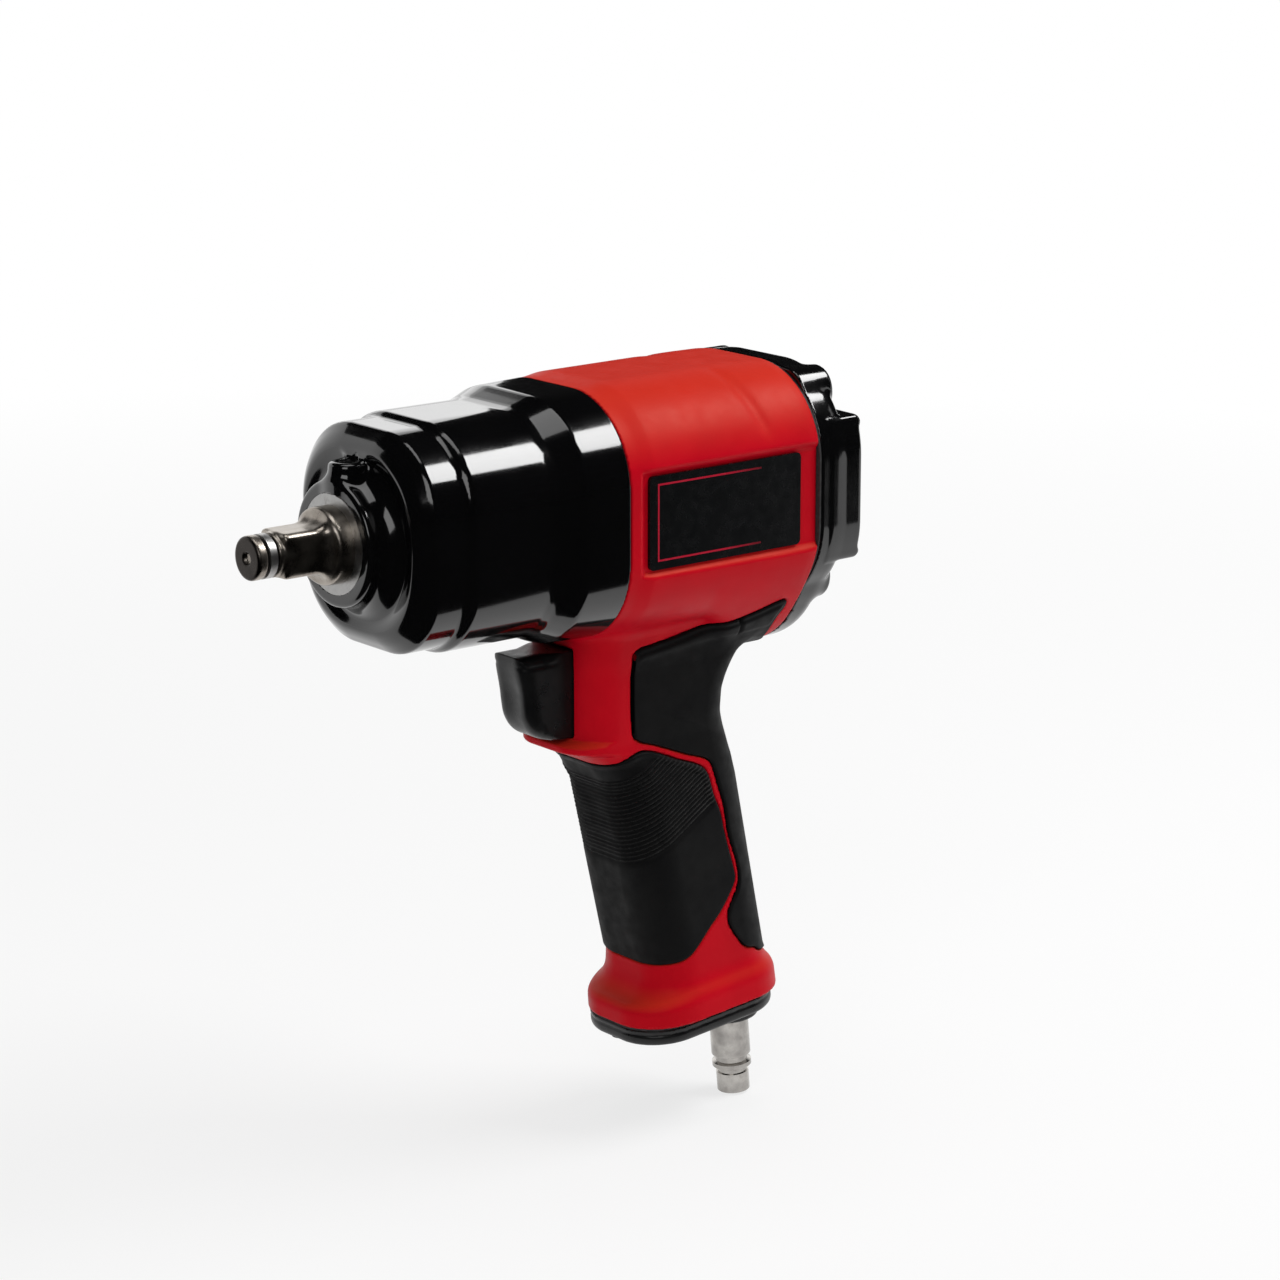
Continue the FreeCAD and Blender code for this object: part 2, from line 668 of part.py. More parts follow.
def make_hammer_case():
    """Cast nose housing: rounded-square outside, round inside, threaded for the cover screws."""
    body = new_body("hammer_case")
    loft(body, "case_shell", [
        square_section(body, "face_section", FACE_HALF, CASE_FACE),
        square_section(body, "rim_section", BLOCK_HALF, f"{CASE_FACE} + rim_length"),
        square_section(body, "block_section", BLOCK_HALF, BLOCK_END),
        square_section(body, "barrel_section", f"{BLOCK_HALF} + barrel_step", f"{BLOCK_END} + 2"),
        square_section(body, "barrel_end_section", f"{BLOCK_HALF} + barrel_step", BARREL_END),
        square_section(body, "flange_section", f"{FRONT_HALF} - flange_inset", f"{BARREL_END} + flare_run"),
        square_section(body, "rear_section", FRONT_HALF, CASE_REAR),
    ])
    turn(body, "Revolution", "nose", [
        (CASE_FRONT, BUSHING_RADIUS), (CASE_FRONT, f"{NOSE_RADIUS} - 0.8"),
        (f"{CASE_FRONT} + 0.8", NOSE_RADIUS), (f"{CASE_FACE} - 3", NOSE_RADIUS),
        (CASE_FACE, NOSE_ROOT_RADIUS), (f"{CASE_FACE} + 2", NOSE_ROOT_RADIUS),
        (f"{CASE_FACE} + 2", BUSHING_RADIUS),
    ])
    boss = circle(body, "boss_circle", "XY_Plane", BOSS_STATION, "0", "boss_radius", f"-{BOSS_TOP}")
    extrude(body, "Pad", "grease_boss", boss, f"{BOSS_TOP} - {BUSHING_RADIUS} - 1")
    turn(body, "Groove", "cavity", [
        ("0", "0"), ("0", BUSHING_RADIUS), (BUSHING_END, BUSHING_RADIUS),
        (BUSHING_END, CAVITY_RADIUS), (f"{CASE_REAR} - 12", CAVITY_RADIUS),
        (f"{CASE_REAR} - 12", "motor_bore_radius"), (CASE_REAR, "motor_bore_radius"),
        (CASE_REAR, "0"),
    ])
    plug = circle(body, "plug_circle", "XY_Plane", BOSS_STATION, "0", "plug_radius", f"-{BOSS_TOP} - 1")
    extrude(body, "Pocket", "plug_hole", plug, "plug_depth + 1")
    for index, (side_y, side_z) in enumerate(SCREW_CORNERS):
        hole = circle(body, f"thread_circle_{index}", "YZ_Plane", f"{side_y} * {SCREW_Y}",
                      f"{side_z} * {SCREW_Z}", "screw_radius", f"{CASE_REAR} - screw_grip - 1")
        extrude(body, "Pocket", f"thread_{index}", hole, "screw_grip + 1")
    return node(body, "hammer_case")


def make_grease_plug():
    """Set screw that closes the grease hole in the nose boss."""
    body = new_body("grease_plug")
    sketch = circle(body, "plug_disc", "XY_Plane", BOSS_STATION, "0", "plug_radius", f"-{BOSS_TOP} + 0.5")
    extrude(body, "Pad", "plug_solid", sketch, "plug_depth - 0.5")
    key = circle(body, "plug_key", "XY_Plane", BOSS_STATION, "0", "plug_radius / 2", f"-{BOSS_TOP} + 0.4")
    extrude(body, "Pocket", "plug_key_hole", key, "1.8")
    return node(body, "grease_plug")


def make_anvil_bushing():
    turned_node("anvil_bushing", ring_outline(
        CASE_FRONT, BUSHING_END, "collar_radius + running_gap", BUSHING_RADIUS))
    turned_node("thrust_washer", ring_outline(
        f"{BUSHING_END} + running_gap", WASHER_END, "collar_radius + seat_gap", f"{THRUST_RADIUS} + 4"))


def make_hammer_cage():
    """Cage that carries both hammers on pins, with windows in its wall."""
    body = new_body("hammer_cage")
    turn(body, "Revolution", "cage_turned", [
        (CAGE_START, f"{JOURNAL_RADIUS} + running_gap"), (CAGE_START, CAGE_RADIUS),
        (CAGE_END, CAGE_RADIUS), (CAGE_END, "tail_radius + running_gap"),
        (CAGE_REAR_PLATE, "tail_radius + running_gap"), (CAGE_REAR_PLATE, CAGE_INNER_RADIUS),
        (f"{CAGE_START} + cage_plate", CAGE_INNER_RADIUS),
        (f"{CAGE_START} + cage_plate", f"{JOURNAL_RADIUS} + running_gap"),
    ])
    window = rounded_rectangle(
        body, "window", "XZ_Plane", (HAMMERS_START, "-cage_window_width / 2"),
        (HAMMERS_END, "cage_window_width / 2"), "3")
    extrude(body, "Pocket", "windows", window, f"2 * {CAGE_RADIUS} + 2", symmetric=True)
    for name, side in (("front_pin_hole", "-"), ("rear_pin_hole", "")):
        hole = circle(body, name + "_circle", "YZ_Plane", "0", f"{side}pin_circle_radius",
                      "pin_radius", f"{CAGE_START} - 1")
        extrude(body, "Pocket", name, hole, f"{CAGE_END} + 2 - {CAGE_START}")
    flat = square_section(body, "drive_flat_section", "drive_flat / 2 + running_gap",
                          f"{TAIL_END} + 0.4", "1")
    extrude(body, "Pocket", "drive_socket", flat, "cage_plate + 1")
    return node(body, "hammer_cage")


def make_hammers():
    """Two striking rings; each swings on one pin and is slotted round the other."""
    for name, side, start in (("front_hammer", "-", HAMMERS_START),
                              ("rear_hammer", "", REAR_HAMMER)):
        body = new_body(name)
        outline = circle(body, name + "_disc", "YZ_Plane", "0", "0", "hammer_radius", start)
        extrude(body, "Pad", name + "_solid", outline, "hammer_thickness")
        bore = circle(body, name + "_bore", "YZ_Plane", "0", "0", "hammer_bore_radius", start)
        extrude(body, "Pocket", name + "_eye", bore, "hammer_thickness")
        pivot = circle(body, name + "_pivot", "YZ_Plane", "0", f"{side}pin_circle_radius",
                       "pin_radius + running_gap", start)
        extrude(body, "Pocket", name + "_pivot_hole", pivot, "hammer_thickness")
        other = "" if side == "-" else "-"
        sweep = "pin_radius + 0.6 + 2 * pin_circle_radius * tan(hammer_swing)"
        near = "pin_circle_radius - pin_radius - 0.4"
        far = "hammer_radius + 1"
        low = ("-(" + sweep + ")", f"{other}({near})" if other == "" else f"-({far})")
        high = (sweep, f"({far})" if other == "" else f"-({near})")
        slot = polygon(body, name + "_slot", "YZ_Plane", [
            low, (high[0], low[1]), high, (low[0], high[1])], start)
        extrude(body, "Pocket", name + "_slot_cut", slot, "hammer_thickness")
        node(body, name)


def make_hammer_pins():
    """Two pins through the cage, one above and one below the axis."""
    length = f"{CAGE_END} - {CAGE_START}"
    group("hammer_pins", [bar(f"hammer_pin_{index}", "pin_radius", length, CAGE_START, "0",
                              f"{side} * pin_circle_radius") for index, side in enumerate((1, -1))])


def make_front_end_plate():
    turned_node("front_end_plate", [
        (FRONT_BEARING, "bearing_radius"), (FRONT_BEARING, "plate_boss_radius"),
        (f"{MOTOR_START} - end_plate", "plate_boss_radius"),
        (f"{MOTOR_START} - end_plate", "motor_bore_radius - seat_gap"),
        (MOTOR_START, "motor_bore_radius - seat_gap"), (MOTOR_START, "shaft_radius + 1"),
        (f"{FRONT_BEARING} + bearing_width", "shaft_radius + 1"),
        (f"{FRONT_BEARING} + bearing_width", "bearing_radius"),
    ])


def make_rear_end_plate():
    turned_node("rear_end_plate", [
        (MOTOR_END, "shaft_radius + 1"), (MOTOR_END, "motor_bore_radius - seat_gap"),
        (PLATE_REAR_END, "motor_bore_radius - seat_gap"), (PLATE_REAR_END, "plate_boss_radius"),
        (f"{REAR_BEARING} + bearing_width", "plate_boss_radius"),
        (f"{REAR_BEARING} + bearing_width", "bearing_radius"), (REAR_BEARING, "bearing_radius"),
        (REAR_BEARING, "shaft_radius + 1"),
    ])


def make_bearing(name, start):
    """Ball bearing of three nodes: outer race, inner race and a ring of balls."""
    end = start + " + bearing_width"
    turned_node(name + "_outer_race", ring_outline(
        start, end, "bearing_radius - race_thickness", "bearing_radius"))
    turned_node(name + "_inner_race", ring_outline(
        start, end, "shaft_radius", "shaft_radius + race_thickness"))
    balls = []
    for index in range(BALL_COUNT):
        ball = doc.addObject("Part::Sphere", f"{name}_ball_{index}")
        angle = f"{360 * index / BALL_COUNT}"
        orbit = "(bearing_radius + shaft_radius) / 2"
        bind(ball, "Radius", "ball_radius")
        bind(ball, "Placement.Base.x", f"-({start} + bearing_width / 2)")
        bind(ball, "Placement.Base.y", f"{orbit} * cos({angle})")
        bind(ball, "Placement.Base.z", f"{orbit} * sin({angle})")
        balls.append(ball)
    group(name + "_balls", balls)


def make_motor_cylinder():
    """Liner with an eccentric bore, an inlet port and two exhaust ports."""
    body = new_body("motor_cylinder")
    outline = circle(body, "cylinder_disc", "YZ_Plane", "0", "0", "motor_bore_radius - seat_gap", MOTOR_START)
    extrude(body, "Pad", "cylinder_solid", outline, "cylinder_length")
    bore = circle(body, "cylinder_bore", "YZ_Plane", "0", "-cylinder_offset", CYLINDER_BORE,
                  MOTOR_START)
    extrude(body, "Pocket", "cylinder_eye", bore, "cylinder_length")
    dowel = circle(body, "dowel_circle", "YZ_Plane", "0", DOWEL_HEIGHT, "dowel_radius",
                   f"{MOTOR_END} - 10")
    extrude(body, "Pocket", "dowel_hole", dowel, "10")
    for index, side in enumerate((1, -1)):
        port = circle(body, f"port_circle_{index}", "XY_Plane", f"{MOTOR_START} + cylinder_length / 2",
                      f"{side} * exhaust_y", "exhaust_radius", "0")
        extrude(body, "Pocket", f"exhaust_port_{index}", port, "motor_bore_radius + 1")
    return node(body, "motor_cylinder")


def make_dowel():
    node(bar("cylinder_dowel", "dowel_radius", "9.8", f"{MOTOR_END} - 9.8", "0", f"-{DOWEL_HEIGHT}"),
         "cylinder_dowel")


def make_rotor():
    """Slotted rotor whose front shaft ends in the square that drives the hammer cage."""
    body = new_body("rotor")
    turn(body, "Revolution", "rotor_turned", [
        (FRONT_BEARING, "0"), (FRONT_BEARING, "shaft_radius"),
        (f"{MOTOR_START} + rotor_end_gap", "shaft_radius"),
        (f"{MOTOR_START} + rotor_end_gap", ROTOR_RADIUS),
        (f"{MOTOR_END} - rotor_end_gap", ROTOR_RADIUS),
        (f"{MOTOR_END} - rotor_end_gap", "shaft_radius"),
        (f"{REAR_BEARING} + bearing_width", "shaft_radius"),
        (f"{REAR_BEARING} + bearing_width", "0"),
    ])
    key = square_section(body, "rotor_key_section", "drive_flat / 2",
                         f"{TAIL_END} + 1", "1")
    extrude(body, "Pad", "rotor_key_end", key,
            f"{FRONT_BEARING} + 0.5 - ({TAIL_END} + 1)")
    slot = polygon(body, "slot_section", "YZ_Plane", [
        ("-vane_thickness / 2 - running_gap", f"{ROTOR_RADIUS} - slot_depth"),
        ("vane_thickness / 2 + running_gap", f"{ROTOR_RADIUS} - slot_depth"),
        ("vane_thickness / 2 + running_gap", f"{ROTOR_RADIUS} + 1"),
        ("-vane_thickness / 2 - running_gap", f"{ROTOR_RADIUS} + 1")], MOTOR_START)
    cut = extrude(body, "Pocket", "vane_slot", slot, "cylinder_length")
    pattern = body.newObject("PartDesign::PolarPattern", "vane_slots")
    pattern.Originals = [cut]
    pattern.Axis = (origin_part(body, "X_Axis"), [""])
    pattern.Angle = 360
    pattern.Occurrences = VANE_COUNT
    body.Tip = pattern
    return node(body, "rotor")


def make_vanes():
    """Flat vanes resting in the rotor's slots."""
    vanes = []
    for index in range(VANE_COUNT):
        vane = doc.addObject("Part::Box", f"vane_{index}")
        bind(vane, "Length", "cylinder_length - 2 * rotor_end_gap")
        bind(vane, "Width", "vane_thickness")
        bind(vane, "Height", "vane_height")
        angle = 360 * index / VANE_COUNT
        vane.Placement.Rotation = FreeCAD.Rotation(FreeCAD.Vector(1, 0, 0), angle)
        inner = f"({VANE_TIP_RADIUS} - vane_height)"
        bind(vane, "Placement.Base.x", f"-({MOTOR_END} - rotor_end_gap)")
        bind(vane, "Placement.Base.y", f"-vane_thickness / 2 * cos({angle}) - {inner} * sin({angle})")
        bind(vane, "Placement.Base.z", f"-vane_thickness / 2 * sin({angle}) + {inner} * cos({angle})")
        vanes.append(vane)
    group("rotor_vanes", vanes)


def make_gasket(label, start, half):
    """Thin sheet gasket between two shells, with holes for the cover screws."""
    body = new_body(label)
    sheet_section = square_section(body, label + "_section", half + " - 0.6", start)
    extrude(body, "Pad", label + "_sheet", sheet_section, "gasket_thickness")
    bore = circle(body, label + "_bore", "YZ_Plane", "0", "0", "motor_bore_radius", start)
    extrude(body, "Pocket", label + "_eye", bore, "gasket_thickness")
    for index, (side_y, side_z) in enumerate(SCREW_CORNERS):
        hole = circle(body, f"{label}_hole_{index}", "YZ_Plane", f"{side_y} * {SCREW_Y}",
                      f"{side_z} * {SCREW_Z}", "screw_radius + seat_gap", start)
        extrude(body, "Pocket", f"{label}_clear_{index}", hole, "gasket_thickness")
    return node(body, label)


def handle_loft(name, inset):
    """Loft down the neck, grip and foot, drawn in by an inset for the core under the pads."""
    rows = [
        (NECK_TOP_DEPTH, NECK_FRONT, f"{NECK_FRONT} + neck_top_length", "neck_top_half", "neck_corner"),
        (WEB_DEPTH, NECK_FRONT, WEB_REAR, "web_half", "neck_corner"),
        (NECK_DEPTH, NECK_FRONT, NECK_REAR, "neck_half", "neck_corner"),
        (SHELF_DEPTH, NECK_FRONT, NECK_REAR, "neck_half", "neck_corner"),
        (LIP_DEPTH, LIP_FRONT, f"{NECK_REAR} + 0.5", "neck_half", "neck_corner"),
        (LIP_END_DEPTH, LIP_FRONT, f"{NECK_REAR} + 1.2", "neck_half", "neck_corner"),
        (UNDER_LIP_DEPTH, UNDER_LIP_FRONT, f"{UNDER_LIP_FRONT} + under_lip_length", "grip_half - 0.7",
         "grip_corner - 1"),
        (GRIP_DEPTH, GRIP_FRONT, GRIP_REAR, "grip_half", "grip_corner"),
        (GRIP_END_DEPTH, GRIP_END_FRONT, GRIP_END_REAR, "grip_half", "grip_corner"),
        ("base_depth - toe_rise", TOE_FRONT, f"{TOE_FRONT} + toe_length", "toe_half", "grip_corner"),
        ("base_depth + foot_drop", FOOT_FRONT, f"{FOOT_FRONT} + foot_length", "foot_half", "grip_corner"),
    ]
    body = new_body(name)
    sections = []
    for index, (depth, front, rear, half, corner) in enumerate(rows):
        low = (f"{front} + {inset}", f"-({half} - {inset})")
        high = (f"{rear} - {inset}", f"({half} - {inset})")
        sections.append(rounded_rectangle(body, f"{name}_{index}", "XY_Plane", low, high,
                                          f"{corner} - {inset}", depth))
    loft(body, name + "_loft", sections)
    return body


def side_region(name, corners):
    """Prism across the handle from an outline in station and depth."""
    body = new_body(name)
    sketch = polygon(body, name + "_outline", "XZ_Plane", corners)
    extrude(body, "Pad", name + "_prism", sketch, "3 * grip_half", symmetric=True)
    return body


def pad_regions():
    """Outlines of the front and rear grip pads seen from the side."""
    front = side_region("front_pad_region", [
        (f"{GRIP_FRONT} - 12", f"{UNDER_LIP_DEPTH} - 2"), (f"{GRIP_FRONT} + 2", f"{UNDER_LIP_DEPTH} + 1"),
        (f"{GRIP_FRONT} + 20", UNDER_LIP_DEPTH), (f"{GRIP_REAR} - 13", f"{GRIP_DEPTH} + 1"),
        (f"{GRIP_REAR} - 10", f"{GRIP_DEPTH} + 10"), (f"{GRIP_END_REAR} - 15", f"{GRIP_END_DEPTH} - 24"),
        (f"{GRIP_END_REAR} - 20", f"{GRIP_END_DEPTH} - 8"), (f"{GRIP_END_FRONT} + 14", GRIP_END_DEPTH),
        (f"{GRIP_END_FRONT} - 10", f"{GRIP_END_DEPTH} - 4"),
    ])
    bead = "pad_bead"
    rear = side_region("rear_pad_region", [
        (f"{NECK_FRONT} + 18", f"{NECK_DEPTH} - 5"), (KEEL_START, WEB_DEPTH), (KEEL_START, KEEL_DEPTH),
        (f"{WEB_REAR} + 20", KEEL_DEPTH),
        (f"{WEB_REAR} + 20", f"{GRIP_END_DEPTH} + 2"), (f"{GRIP_END_REAR} - 8", f"{GRIP_END_DEPTH} + 2"),
        (f"{GRIP_END_REAR} - 20 + {bead}", f"{GRIP_END_DEPTH} - 8 + {bead}"),
        (f"{GRIP_END_REAR} - 15 + {bead}", f"{GRIP_END_DEPTH} - 24"),
        (f"{GRIP_REAR} - 10 + {bead}", f"{GRIP_DEPTH} + 10"),
        (f"{GRIP_REAR} - 13 + {bead}", f"{GRIP_DEPTH} + 1 - {bead}"),
        (f"{GRIP_FRONT} + 20", f"{UNDER_LIP_DEPTH} - {bead} - 1"),
        (f"{NECK_FRONT} + 18", f"{UNDER_LIP_DEPTH} - 8"),
    ])
    return front, rear


def slanted_tool(name, radius, y, top, bottom):
    """Cutter between two (station, depth) points, at a distance y to the side."""
    item = doc.addObject("Part::Cylinder", name)
    run = f"(({bottom[0]}) - ({top[0]}))"
    drop = f"(({bottom[1]}) - ({top[1]}))"
    item.Placement.Rotation = FreeCAD.Rotation(FreeCAD.Vector(0, 1, 0), 180)
    bind(item, "Radius", radius)
    bind(item, "Height", f"sqrt({run} * {run} + {drop} * {drop})")
    bind(item, "Placement.Base.x", f"-({top[0]})")
    bind(item, "Placement.Base.y", y)
    bind(item, "Placement.Base.z", f"-({top[1]})")
    bind(item, "Placement.Rotation.Angle", f"180 deg + atan({run} / {drop})")
    return item


def muffler_section(body, name, gap, offset):
    return rounded_rectangle(
        body, name, "XY_Plane", (f"-muffler_reach - {gap}", f"-muffler_half - {gap}"),
        (f"muffler_length - muffler_reach + {gap}", f"muffler_half + {gap}"), "muffler_corner", offset)


def base_tools():
    """Cutters in the base frame: below the base plane, muffler room, insert bore and threads."""
    below = new_body("below_base", in_base_frame)
    slab = rounded_rectangle(below, "below_section", "XY_Plane", ("-90", "-40"), ("40", "40"), "5")
    extrude(below, "Pad", "below_slab", slab, "40")
    room = new_body("muffler_room", in_base_frame)
    extrude(room, "Pad", "room_solid", muffler_section(room, "room_section", "seat_gap", "-muffler_height"),
            "muffler_height + 1")
    insert = new_body("insert_bore", in_base_frame)
    disc(insert, "Pad", "insert_solid", "0", "0", "insert_radius", "-insert_length", "insert_length + 1")
    threads = []
    for place in ("rear", "front"):
        thread = new_body(f"base_thread_{place}", in_base_frame)
        disc(thread, "Pad", f"base_thread_{place}_solid", f"-base_screw_{place}_reach", "0",
             "base_screw_radius", "-base_screw_length", "base_screw_length + 1")
        threads.append(thread)
    return [below, room, insert] + threads


def valve_tools():
    """Cutters for the trigger pocket, rod sleeve, valve rooms and air passages."""
    pocket = new_body("trigger_pocket")
    section = rounded_rectangle(
        pocket, "trigger_pocket_section", "YZ_Plane", ("-trigger_half - free_gap", f"{TRIGGER_TOP} - free_gap"),
        ("trigger_half + free_gap", f"{TRIGGER_BOTTOM} + free_gap"), "trigger_pocket_corner",
        f"{NECK_FRONT} - 6")
    extrude(pocket, "Pad", "trigger_pocket_solid", section, "trigger_pocket_depth + 6")
    rooms = new_body("valve_rooms")
    disc(rooms, "Pad", "stem_chamber", CHAMBER_STATION, "0", "chamber_radius",
         f"{STEM_TOP} - chamber_headroom", f"{SEAT_DEPTH} - {STEM_TOP} + chamber_headroom + 0.5")
    disc(rooms, "Pad", "valve_room", VALVE_STATION, "0", "seat_radius", SEAT_DEPTH,
         f"{VALVE_ROOM_END} - {SEAT_DEPTH}")
    sleeve = bar("sleeve_bore", "sleeve_radius", f"{CHAMBER_FRONT} + 2 - {SLEEVE_START}",
                 SLEEVE_START, "0", f"-{ROD_DEPTH}")
    inlet = slanted_tool("inlet_passage", "inlet_radius", "0",
                         (f"{VALVE_STATION} + 1", f"{VALVE_ROOM_END} - 2"),
                         (f"{INLET_STATION} - 0.8", "base_depth - insert_length + 0.5"))
    exhausts = [slanted_tool(f"exhaust_{index}", "exhaust_radius", f"{side} * exhaust_y",
                             (f"{MOTOR_START} + exhaust_inset", "motor_bore_radius - 4"),
                             (f"{MOTOR_START} + exhaust_inset + exhaust_slant",
                              "base_depth - muffler_height + 4"))
                for index, side in enumerate((1, -1))]
    return [pocket, rooms, sleeve, inlet] + exhausts


def motor_tools():
    """Cutters for the motor bore and the four cover screws."""
    bore = bar("motor_bore", "motor_bore_radius", f"{HOUSING_REAR} - {CASE_REAR} + 2", CASE_REAR)
    holes = [bar(f"screw_hole_{index}", "screw_radius + seat_gap", f"{HOUSING_REAR} - {CASE_REAR} + 2",
                 CASE_REAR, f"{side_y} * {SCREW_Y}", f"{side_z} * {SCREW_Z}")
             for index, (side_y, side_z) in enumerate(SCREW_CORNERS)]
    return [bore] + holes


def housing_shell():
    """Barrel of the motor housing, with a keel under its tail and a flat recess on each side."""
    body = new_body("housing_shell")
    loft(body, "housing_loft", [
        square_section(body, "housing_front_section", FRONT_HALF, MOTOR_START),
        square_section(body, "housing_middle_section", MIDDLE_HALF, HOUSING_MIDDLE),
        square_section(body, "housing_rear_section", REAR_HALF, HOUSING_REAR),
    ])
    cross_disc(body, "Pad", "housing_keel", "0", "-keel_drop", "keel_radius", KEEL_START, "keel_length")
    for side, offset, depth in (("left", f"-{MIDDLE_HALF} - 3", f"{MIDDLE_HALF} + 3 - {RECESS_FLOOR}"),
                                ("right", RECESS_FLOOR, f"{MIDDLE_HALF} + 3 - {RECESS_FLOOR}")):
        recess = rounded_rectangle(
            body, f"{side}_recess_section", "XZ_Plane", (f"{MOTOR_START} + recess_inset", "-recess_height / 2"),
            (f"{HOUSING_REAR} + 20", "recess_height / 2"), "2", offset)
        extrude(body, "Pocket", f"{side}_recess", recess, depth)
    return body


def make_labels():
    """Bare plates that lie in the side recesses."""
    for side, offset in (("left", f"-{RECESS_FLOOR} - label_thickness"), ("right", RECESS_FLOOR)):
        body = new_body(f"{side}_label_plate")
        plate = rounded_rectangle(
            body, f"{side}_plate_section", "XZ_Plane", (LABEL_START, "-label_height / 2"),
            (f"{LABEL_START} + label_length", "label_height / 2"), "1.5", offset)
        extrude(body, "Pad", f"{side}_plate_solid", plate, "label_thickness")
        node(body, f"{side}_label_plate")


def make_motor_housing():
    """Barrel and handle in one moulding, with both grip pads let into the handle."""
    outside = handle_loft("handle_outside", "0")
    skin = boolean("Cut", "handle_skin", outside, handle_loft("handle_core", "pad_thickness"))
    front_region, rear_region = pad_regions()
    front_pad = boolean("Common", "front_grip_pad", skin, front_region)
    rear_side = boolean("Common", "rear_pad_side", skin, rear_region)
    rear_pad = boolean("Cut", "rear_grip_pad", rear_side, front_region)
    solid = fused("housing_solid", [housing_shell(), outside])
    tools = fused("housing_tools", motor_tools() + valve_tools() + base_tools() + [front_pad, rear_pad])
    node(boolean("Cut", "motor_housing", solid, tools), "motor_housing")
    node(front_pad, "front_grip_pad")
    node(rear_pad, "rear_grip_pad")


def make_rear_cover():
    """End cover with a raised middle block, a keel, four screw bosses and the selector's bore."""
    body = new_body("rear_cover")
    spigot_outer = "motor_bore_radius - seat_gap"
    spigot_inner = spigot_outer + " - cover_spigot_wall"
    hub_outer = "selector_radius + selector_hub_wall"
    bore = "selector_radius + running_gap"
    loft(body, "cover_loft", [
        square_section(body, "cover_front_section", f"{REAR_HALF} - 0.2", COVER_START),
        square_section(body, "cover_face_section", f"{REAR_HALF} - cover_face_inset", COVER_FACE),
        square_section(body, "cover_rear_section", f"{REAR_HALF} - cover_rear_inset", COVER_END),
    ])
    for side in ("", "-"):
        step = polygon(body, f"cover_step{len(side)}_section", "YZ_Plane", [
            ("-50", f"{side}cover_block_half_height"), ("50", f"{side}cover_block_half_height"),
            ("50", f"{side}50"), ("-50", f"{side}50")], COVER_FACE)
        extrude(body, "Pocket", f"cover_step{len(side)}", step, COVER_END)
    cross_disc(body, "Pad", "cover_keel", "0", "-keel_drop", "keel_radius - cover_face_inset", COVER_START,
               "cover_body")
    for index, (side_y, side_z) in enumerate(SCREW_CORNERS):
        place = (f"{side_y} * {SCREW_Y}", f"{side_z} * {SCREW_Z}")
        cross_disc(body, "Pad", f"cover_boss_{index}", *place, "cover_boss_radius", COVER_START,
                   "cover_body + 1")
    turn(body, "Revolution", "spigot", ring_outline(
        f"{PLATE_REAR_END} + seat_gap", f"{COVER_START} + 1", spigot_inner, spigot_outer))
    turn(body, "Groove", "manifold", ring_outline(
        f"{COVER_START} - 1", f"{COVER_FACE} - 3", hub_outer, spigot_inner))
    turn(body, "Revolution", "selector_hub", ring_outline(
        SELECTOR_START, f"{COVER_START} + 1", bore, hub_outer))
    turn(body, "Groove", "selector_bore", [
        (SELECTOR_START, "0"), (SELECTOR_START, bore), (KNOB_START, bore),
        (KNOB_START, "knob_radius + free_gap"), (f"{COVER_END} + 1", "knob_radius + free_gap"),
        (f"{COVER_END} + 1", "0")])
    for index, (side_y, side_z) in enumerate(SCREW_CORNERS):
        place = (f"{side_y} * {SCREW_Y}", f"{side_z} * {SCREW_Z}")
        cross_disc(body, "Pocket", f"cover_hole_{index}", *place, "screw_radius + seat_gap",
                   f"{COVER_START} - 1", "cover_body + 3")
        cross_disc(body, "Pocket", f"cover_counterbore_{index}", *place,
                   "screw_head_radius + seat_gap", SCREW_SEAT, "cover_body")
    cross_disc(body, "Pocket", "detent_hole", "0", "-detent_circle_radius", "detent_radius + running_gap",
               f"{KNOB_START} - 2 * detent_radius - detent_spring_length", "cover_body")
    return node(body, "rear_cover")


def make_cover_screws():
    length = f"{SCREW_SEAT} - {CASE_REAR} + screw_grip"
    group("cover_screws", [
        socket_head_screw(f"cover_screw_{index}", "screw_radius", "screw_head_radius",
                          "screw_head_height", SCREW_SEAT, length,
                          f"{side_y} * {SCREW_Y}", f"{side_z} * {SCREW_Z}")
        for index, (side_y, side_z) in enumerate(SCREW_CORNERS)])


